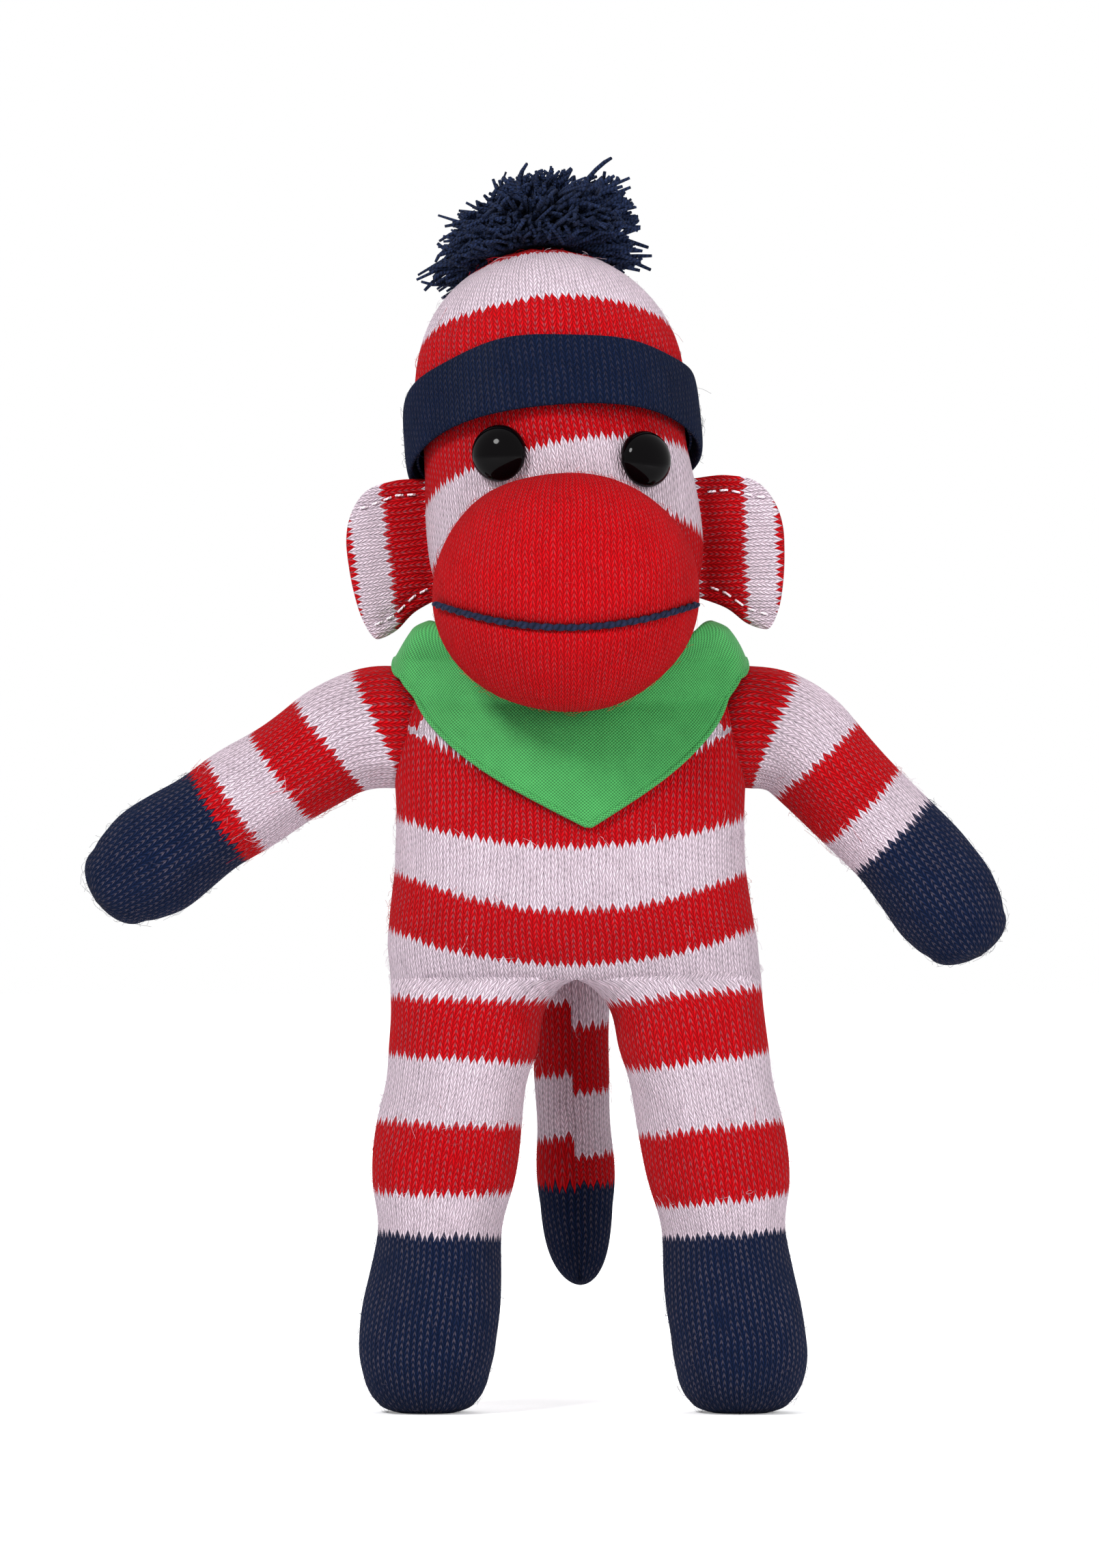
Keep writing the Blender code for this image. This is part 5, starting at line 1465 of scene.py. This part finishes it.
@dataclass
class Hat:
    """The knitted hat: a striped crown pulled over the head, a folded navy cuff, and a pompom of cut yarn."""

    crown_wall: float = 0.0009
    cuff_wall: float = 0.0015
    gap: float = 0.0003
    pompom_width: float = 0.0350
    pompom_height: float = 0.0250
    pompom_lift: float = 0.0033
    strands: int = 2200
    steps: int = 7
    bearings: tuple = (-180, -150, -90, -30, 0, 45, 75, 90, 108, 135, 160, 180)
    lobes: tuple = (1.0, 1.05, 0.9, 1.12, 0.95, 1.18, 1.04, 0.90, 1.04, 0.90, 0.97, 1.0)

    def build(self, head: Head) -> list[bpy.types.Object]:
        """Makes the crown, the cuff, the pompom and its tie.

        Args:
            head: The head that the hat is pulled over.

        Returns:
            The pieces.
        """
        return [self.crown(head), self.cuff(head), *self.pompom(head)]

    def crown(self, head: Head) -> bpy.types.Object:
        """The crown: the head's own dome grown by the knit's thickness, gathered into small pleats at the top.

        Args:
            head: The head.

        Returns:
            The piece.
        """
        outer, top = head.rings(self.gap + self.crown_wall)
        inner, _ = head.rings(self.gap)
        outer, inner = outer[46:], inner[46:]
        spin = 2 * math.pi * np.arange(head.columns) / head.columns
        up = np.linspace(0, 1, len(outer))[:, None]
        pleat = 0.0005 * clamp(up - 0.55) * np.sin(13 * spin)[None, :]
        outer = puffed(outer, lumps(outer, 0.018, 0.00035, 13.0) * clamp(4 * up) + pleat - 0.0001)
        points = np.concatenate([inner[:1] * 0.5 + outer[:1] * 0.5, outer])
        side = np.linalg.norm(np.diff(points, axis=0), axis=2).mean(axis=1)
        run = np.concatenate([[0], side.cumsum()])
        brim = head.cuff_height
        places = (brim * 0.5, brim + 0.0072, brim + 0.0222)
        edges = np.stack([np.full(points.shape[:2], edge) for edge in places])
        courses = course_of(np.broadcast_to(run[:, None], points.shape[:2]), edges, (8, 20, 33))
        stripes = ((0, Yarn.NAVY), (8, Yarn.RED), (20, Yarn.WHITE), (33, Yarn.RED))
        knit = Knit("red_and_white_hat_knit", stripes, 56, open_loops=0.5).build()
        cloth = round_cloth(points, WALE, courses)
        crown = grid_mesh("hat_crown_knit", points, cloth, None, top)
        return dress(crown, knit, Slot.WHITE_KNIT, "head", "hat_crown")

    def cuff(self, head: Head) -> bpy.types.Object:
        """The cuff: a band folded back on itself, whose section is a flat oval that waves a little round the head.

        Args:
            head: The head.

        Returns:
            The piece.
        """
        axes = head.axes(1.0)
        spin, c, s = round_table(168, 2.0, math.pi / 2)
        section = 2 * math.pi * np.arange(40) / 40
        # The section is a rounded oblong: its height is a cosine to the power 2/3.2, its thickness a sine.
        level = 0.5 + 0.5 * np.sign(np.cos(section)) * np.abs(np.cos(section)) ** (2 / 3.2)
        thick = np.sign(np.sin(section)) * np.abs(np.sin(section)) ** (2 / 2.4)
        wave = 0.00045 * np.sin(3 * spin + 0.6) + 0.00025 * np.sin(7 * spin + 2.0)
        base = self.gap + self.crown_wall + self.gap + self.cuff_wall / 2
        stand = base + thick[:, None] * self.cuff_wall * 0.5 + 0.0003 * np.sin(5 * spin)[None, :] * (1 - level[:, None])
        girth = head.girths[-1] - 0.006 * level[:, None]
        wide, deep = girth * head.width / 2 + stand, girth * head.depth / 2 + stand
        rise = head.cuff_height * level[:, None] + wave[None, :] * clamp(2 * level[:, None] - 0.6)
        points = head.centre(1.0) + (c * wide)[..., None] * axes[0] + (s * deep)[..., None] * axes[1]
        points = points + rise[..., None] * axes[2]
        loop = np.concatenate([points, points[:1]])
        run = np.linalg.norm(np.diff(loop, axis=0), axis=2).mean(axis=1).cumsum()
        courses = np.broadcast_to(np.concatenate([[0], run])[:, None] / COURSE, loop.shape[:2])
        cloth = round_cloth(loop, WALE, courses)
        knit = Knit("navy_cuff_knit", ((0, Yarn.NAVY),), 60, relief=0.0009, open_loops=0.2).build()
        return dress(grid_mesh("hat_cuff_knit", loop, cloth), knit, Slot.NAVY_KNIT, "head", "hat_cuff")

    def pompom(self, head: Head) -> list[bpy.types.Object]:
        """The pompom: a dark core, and cut yarns that leave its middle in all directions, bend down under their own
        weight and end at uneven lengths, with a few tufts that stand out beyond the rest.

        Args:
            head: The head, whose lean the pompom shares.

        Returns:
            The pieces.
        """
        rng = np.random.default_rng(7)
        axes = head.axes(1.0)
        _, top = head.rings(self.gap + self.crown_wall)
        centre = top + axes[2] * self.pompom_lift
        # Directions spread evenly over a ball by the golden angle, then shaken.
        number = np.arange(self.strands) + 0.5
        height = 1 - 2 * number / self.strands
        angle = number * math.pi * (3 - math.sqrt(5))
        level = np.sqrt(1 - height**2)
        way = np.stack([level * np.cos(angle), level * np.sin(angle), height], axis=-1)
        way = way + rng.normal(0, 0.10, way.shape)
        clump = rng.normal(size=(46, 3))
        clump = clump / np.linalg.norm(clump, axis=1, keepdims=True)
        way = way / np.linalg.norm(way, axis=1, keepdims=True)
        nearest = clump[np.argmax(way @ clump.T, axis=1)]
        way = way + 0.42 * nearest
        way = way / np.linalg.norm(way, axis=1, keepdims=True)
        tuft = rng.normal(1.0, 0.07, len(clump))[np.argmax(way @ clump.T, axis=1)]
        half = np.array([self.pompom_width / 2, self.pompom_width / 2, self.pompom_height / 2])
        # Seen from the front it has a low lobe on the left, a tall one on the right and drooping ends.
        bearing = np.degrees(np.arctan2(way[:, 2], way[:, 0]))
        lobes = np.interp(bearing, self.bearings, self.lobes)
        reach = (0.80 + 0.22 * rng.random(self.strands)) * tuft * (1 + (lobes - 1) * np.hypot(way[:, 0], way[:, 2]))
        wild = rng.random(self.strands) < 0.05
        reach = (reach * np.where(wild, 1.16, 1.0))[:, None]
        tip = way * half * reach
        tip[:, 2] = np.maximum(tip[:, 2], -0.0052)
        # A yarn that would cross the crown lies along it instead: its height there follows the crown's own curve.
        part = np.linspace(0, 1, self.steps)[None, :, None]
        bend = rng.normal(0, 0.0016, (self.strands, 1, 3)) * np.sin(math.pi * part)
        path = tip[:, None] * (0.10 + 0.90 * part) + bend
        flat = np.linalg.norm(path[..., :2], axis=2)
        path[..., 2] -= 0.0026 * (flat / half[0]) ** 2 * (path[..., 2] > -0.004)
        path[..., 2] += 0.0006 * np.sin(3.0 * part[..., 0] + 6.0 * rng.random((self.strands, 1)))
        radius_out = head.width / 2 * head.crown_share + 0.0012
        seat = (head.dome + 0.0012) * (np.sqrt(np.clip(1 - (flat / radius_out) ** 2, 0.0, 1)) - 1) - self.pompom_lift
        path[..., 2] = np.maximum(path[..., 2], seat + 0.0007)
        world = centre + path @ axes
        taper = np.array([0.8, 1.0, 1.0, 1.0, 1.0, 0.95, 0.72])[None, :]
        thick = 0.00036 * taper * (0.8 + 0.4 * rng.random((self.strands, 1)))
        yarn = many_threads("pompom_yarn", world, thick, 5)
        dress(yarn, Finishes.get(Trim.POMPOM_YARN), Slot.NAVY_YARN, "head", "pompom")
        turn = np.linspace(-math.pi / 2, math.pi / 2, 26)[1:-1]
        _, c, s = round_table(48)
        flat, rise = np.cos(turn)[:, None], np.sin(turn)[:, None]
        core = np.stack([flat * c, flat * s, rise * np.ones(len(c))], axis=-1)
        core = core * half * 0.62
        flat = np.linalg.norm(core[..., :2], axis=2)
        seat = (head.dome + 0.0012) * (np.sqrt(np.clip(1 - (flat / radius_out) ** 2, 0.0, 1)) - 1) - self.pompom_lift
        core[..., 2] = np.maximum(core[..., 2], seat + 0.0005)
        ends = [centre + np.array([0, 0, z]) @ axes for z in (core[0, 0, 2], half[2] * 0.62)]
        heart = grid_mesh("pompom_heart", centre + core @ axes, round_cloth(core, 0.002, core[..., 2] / COURSE), *ends)
        dress(heart, Finishes.get(Trim.POMPOM_YARN), Slot.NAVY_YARN, "head")
        turn = np.linspace(0, 2 * math.pi, 40)
        coil = top + axes[2] * 0.0009 + 0.0019 * (np.cos(turn)[:, None] * axes[0] + np.sin(turn)[:, None] * axes[1])
        tie = thread("pompom_tie_yarn", coil, 0.00055)
        dress(tie, Finishes.get(Trim.POMPOM_YARN), Slot.NAVY_YARN, "head", "pompom_tie")
        return [yarn, heart, tie]


@dataclass
class Bandana:
    """A triangle of fine green mesh folded round the neck, its point hanging down the chest, its edge rolled."""

    wall: float = 0.0006
    collar_rise: float = 0.0066
    back_rise: float = 0.0020
    front_rise: float = -0.0020
    point_drop: float = 0.0285
    corner_drop: float = 0.0035
    side_lift: float = 0.0038
    collar_narrow: float = 0.0037
    collar_depth: float = 0.0460
    neck_depth: float = 0.0310
    back_drop: float = 0.0060
    width: float = 0.0592
    chest_width: float = 0.0636
    stand_off: float = 0.0009
    point_x: float = 0.0032
    dot_pitch: float = 0.00064
    row_pitch: float = 0.00027
    hem_radius: float = 0.00055
    hem_dots: int = 12
    rows: int = 34
    columns: int = 240

    def build(self, torso: Torso) -> list[bpy.types.Object]:
        """Makes the bandana: each column runs from the collar's edge to the hem, and stands off the torso.

        Args:
            torso: The body that it lies on.

        Returns:
            The pieces.
        """
        share = np.linspace(0, 1, self.rows)[:, None]
        turn, ahead, across = (item[None, :] for item in round_table(self.columns, torso.squareness))
        side = np.sin(turn) ** 2
        # In front the collar climbs sooner, so that it runs up behind the muzzle.
        side = np.where(np.cos(turn) > 0, side * (2 - side), side)
        behind = np.maximum(0, -np.cos(turn))
        upper = self.front_rise + (self.collar_rise - self.front_rise) * side
        upper = upper + (self.back_rise - self.front_rise) * behind**2
        # The hem climbs from the point to each front corner by 0.66 of the way out and 0.34 of its fourth power, and
        # passes over the arms at the sides.
        off = across * self.chest_width / 2 - self.point_x
        run = clamp(np.abs(off) / (self.width / 2 - self.point_x * np.sign(off)))
        lower = -self.point_drop + (self.point_drop - self.corner_drop) * (0.66 * run + 0.34 * run**4)
        lower = np.where(np.cos(turn) < 0, -self.corner_drop - (self.back_drop - self.corner_drop) * behind, lower)
        lower = lower + self.side_lift * np.exp(-((ahead / 0.42) ** 2))
        level = upper + (lower - upper) * share
        reach = np.where(np.cos(turn) > 0, self.collar_rise, upper)
        rise = clamp(level / reach)
        _, torso_wide, torso_deep = torso.at(clamp(1 + np.minimum(0, level) / TORSO_HEIGHT))
        half_width = np.maximum(torso_wide + self.stand_off, self.width / 2 - self.collar_narrow * rise**1.3)
        # The front corners stand out over the arms' roots.
        half_width = half_width + 0.0013 * np.exp(-(((level + self.corner_drop) / 0.0035) ** 2))
        collar = self.neck_depth / 2 + (self.collar_depth - self.neck_depth) / 2 * rise
        half_depth = np.maximum(torso_deep + self.stand_off, collar)
        # Soft folds run from the neck to the hem, and the collar's top edge is folded over inwards.
        fold = 0.0005 * np.sin(5 * turn + 1.2) * np.sin(math.pi * clamp(share * 1.1)) + 0.0002
        roll = -0.0016 * clamp(1 - share / 0.20) ** 2 * side
        half_width, half_depth = (half + fold + roll for half in (half_width, half_depth))
        top = HIP_HEIGHT + TORSO_HEIGHT
        points = np.stack([across * half_width, -ahead * half_depth, top + level], axis=-1)
        cloth = round_cloth(points, self.dot_pitch, -level / self.row_pitch)
        sheet = grid_mesh("bandana_mesh_cloth", points, cloth)
        wall = sheet.modifiers.new("thickness", "SOLIDIFY")
        wall.thickness, wall.offset = self.wall, 0
        weave = MeshCloth().build()
        dress(sheet, weave, Slot.GREEN_MESH, "torso", "bandana")
        step = np.linalg.norm(np.diff(points, axis=0), axis=2)
        wide = np.linalg.norm(points - np.roll(points, -1, axis=1), axis=2)[:-1]
        area = float((step * wide).sum())
        hem_line = np.concatenate([points[-1], points[-1, :1]])
        rings, run = thread_grid(hem_line, self.hem_radius, 8)
        run = np.stack([run[..., 1] / self.dot_pitch, run[..., 0] * self.hem_dots], axis=-1)
        hem = grid_mesh("bandana_rolled_hem", rings, run, hem_line[0], hem_line[-1])
        dress(hem, weave, Slot.GREEN_MESH, "torso")
        LOG.info("bandana area %.1f cm2", area * 1e4)
        return [sheet, hem]


# ---------------------------------------------------------------- studio


@dataclass
class Studio:
    """A pale floor that runs on to the horizon, a white world, three soft lamps and a long lens at doll height."""

    distance: float = 1.5
    frame_height: float = 0.2701
    centre_x: float = 0.0006
    centre_z: float = 0.1087
    room_light: float = 0.60

    def build(self) -> None:
        """Makes the floor, the world, the lamps and the camera."""
        scene = bpy.context.scene
        scene.view_settings.view_transform = "Standard"
        self.floor()
        self.world(scene)
        for name, place, size, power in (
            ("key_lamp", (-0.55, -0.75, 0.85), 0.30, 11.8),
            ("fill_lamp", (0.75, -0.60, 0.45), 0.60, 5.8),
            ("back_lamp", (0.10, 0.80, 0.80), 0.60, 5.5),
        ):
            data = bpy.data.lights.new(name, "AREA")
            data.shape, data.size, data.energy = "DISK", size, power
            lamp = bpy.data.objects.new(name, data)
            lamp.location = place
            aim = np.array([0, 0, 0.10]) - np.array(place)
            lamp.visible_glossy = name == "key_lamp"
            lamp.rotation_euler = (math.acos(-aim[2] / np.linalg.norm(aim)), 0, math.atan2(-aim[0], aim[1]))
            scene.collection.objects.link(lamp)
        data = bpy.data.cameras.new("camera")
        data.sensor_fit, data.sensor_height = "VERTICAL", 24.0
        data.lens = 24.0 * self.distance / self.frame_height
        data.clip_start = 0.01
        camera = bpy.data.objects.new("camera", data)
        camera.location = (self.centre_x, -self.distance, self.centre_z)
        camera.rotation_euler = (math.pi / 2, 0, 0)
        scene.collection.objects.link(camera)
        scene.camera = camera

    def background(self, tree: bpy.types.NodeTree) -> bpy.types.NodeSocket:
        """Where the camera, gloss and clear plastic see the plain white background: the largest of three rays."""
        path = add(tree, "ShaderNodeLightPath")
        both = sums(tree, "MAXIMUM", path.outputs["Is Camera Ray"], path.outputs["Is Glossy Ray"])
        return sums(tree, "MAXIMUM", both, path.outputs["Is Transmission Ray"])

    def world(self, scene: bpy.types.Scene) -> None:
        """A grey world that lights softly, and is plain white where the camera, gloss and clear plastic see it."""
        world = bpy.data.worlds.new("studio")
        scene.world = world
        world.use_nodes = True
        tree = world.node_tree
        shader = tree.nodes["Background"]
        seen = self.background(tree)
        shader.inputs["Color"].default_value = linear("#ffffff")
        strength = sums(tree, "MULTIPLY_ADD", seen, 1.0 - self.room_light, self.room_light)
        tree.links.new(strength, shader.inputs["Strength"])

    def floor(self) -> None:
        """A matte white floor that keeps the doll's soft shadow, and glows as painted light where the camera and gloss
        see it: weakly near the doll and more strongly further out.
        """
        edge = np.linspace(-3, 3, 5)
        x, y = np.meshgrid(edge, edge)
        points = np.stack([x, y, np.full_like(x, 0.0)], axis=-1) - MIDDLE
        floor = grid_mesh("studio_floor", points, np.stack([x, y], axis=-1), wrap=False)
        floor.data.flip_normals()
        material, tree, shader = new_material("white_studio_floor")
        shader.inputs["Base Color"].default_value = linear("#f4f4f6")
        shader.inputs["Roughness"].default_value = 0.9
        # Painted light: the floor glows for camera and gloss rays, from 0.24 near the doll to 0.62 far out, so that it
        # reads white where the lamps' light falls off.
        shader.inputs["Emission Color"].default_value = linear("#ffffff")
        place = add(tree, "ShaderNodeTexCoord").outputs["Object"]
        away = add(tree, "ShaderNodeVectorMath", {"operation": "LENGTH"}, {0: place}).outputs["Value"]
        far = add(tree, "ShaderNodeMapRange", {1: 0.15, 2: 0.9, 3: 0.24, 4: 0.62}, {0: away}).outputs[0]
        tree.links.new(sums(tree, "MULTIPLY", self.background(tree), far), shader.inputs["Emission Strength"])
        floor.data.materials.append(material)


def main() -> None:
    """Builds the doll piece by piece, from the body outwards, and then the studio."""
    logging.basicConfig(level=logging.INFO, format="%(name)s: %(message)s")
    torso, head = Torso(), Head()
    made = torso.build()
    left = (0.0018, 0.0112, 0.0215, 0.0305, 0.0342)
    right = (0.0038, 0.0135, 0.0248, 0.0320)
    striped = (Yarn.RED, Yarn.WHITE, Yarn.RED, Yarn.WHITE, Yarn.RED, Yarn.NAVY)
    made += Arm(-1, "left", 0.0600, math.radians(33.0), math.radians(3.0), left, striped).build(torso)
    droop, bend, stripes = math.radians(45.5), math.radians(14.0), (*striped[:4], Yarn.NAVY)
    made += Arm(1, "right", 0.0578, droop, bend, right, stripes, skew=0.0022).build(torso)
    outer, inner = (0.0719, 0.0620, 0.0505, 0.0382, 0.0313), (0.0712, 0.0604, 0.0495, 0.0380, 0.0304)
    made += Leg("left", -0.0164, -0.0248, outer, inner).build(torso)
    outer, inner = (0.0735, 0.0625, 0.0505, 0.0381, 0.0318), (0.0707, 0.0592, 0.0479, 0.0356, 0.0304)
    made += Leg("right", 0.0184, 0.0294, outer, inner).build(torso)
    made += Tail().build(torso)
    made += head.build()
    made += Muzzle().build(head)
    made += Eye("left", -0.0119, 0.0006).build(head)
    made += Eye("right", 0.0123, -0.0004).build(head)
    made += Ear(-1, "left", 0.0152, (1, 8, 15), (0.0011, 0.0073, 0.0150)).build()
    made += Ear(1, "right", 0.0152, (1, 7, 15), (0.0013, 0.0069, 0.0150)).build()
    made += Hat().build(head)
    made += Bandana().build(torso)
    anywhere, sleeve = (0.0, 1.0), (0.038, 1.0)
    for name, count, slot, body, highest, across in (
        ("torso_knit", 900, Slot.RED_KNIT, "torso", 0.106, anywhere),
        ("head_knit", 400, Slot.RED_KNIT, "head", 1.0, (0.0, 0.017)),
        ("muzzle_knit", 700, Slot.MUZZLE_KNIT, "head", 1.0, anywhere),
        ("hat_crown_knit", 500, Slot.RED_KNIT, "head", 1.0, anywhere),
        ("hat_cuff_knit", 450, Slot.NAVY_KNIT, "head", 1.0, anywhere),
        ("left_arm_knit", 300, Slot.RED_KNIT, "arm_left", 0.112, sleeve),
        ("right_arm_knit", 300, Slot.RED_KNIT, "arm_right", 0.112, sleeve),
        ("left_hand_knit", 260, Slot.NAVY_KNIT, "arm_left", 1.0, anywhere),
        ("right_hand_knit", 260, Slot.NAVY_KNIT, "arm_right", 1.0, anywhere),
        ("left_leg_knit", 450, Slot.RED_KNIT, "leg_left", 0.062, anywhere),
        ("right_leg_knit", 450, Slot.RED_KNIT, "leg_right", 0.062, anywhere),
        ("left_foot_knit", 300, Slot.NAVY_KNIT, "leg_left", 1.0, anywhere),
        ("right_foot_knit", 300, Slot.NAVY_KNIT, "leg_right", 1.0, anywhere),
        ("tail_knit", 300, Slot.RED_KNIT, "tail", 0.080, anywhere),
    ):
        made.append(loose_fibres(bpy.data.objects[name], count, slot, body, highest, across))
    for label in ("left", "right"):
        washer = frame["nodes"][f"eye_washer_{label}"]
        washer.data.materials.clear()
        washer.data.materials.append(Finishes.get(Trim.WASHER))
    Studio().build()
    LOG.info("%d pieces", len(made))


if __name__ == "__main__":
    main()
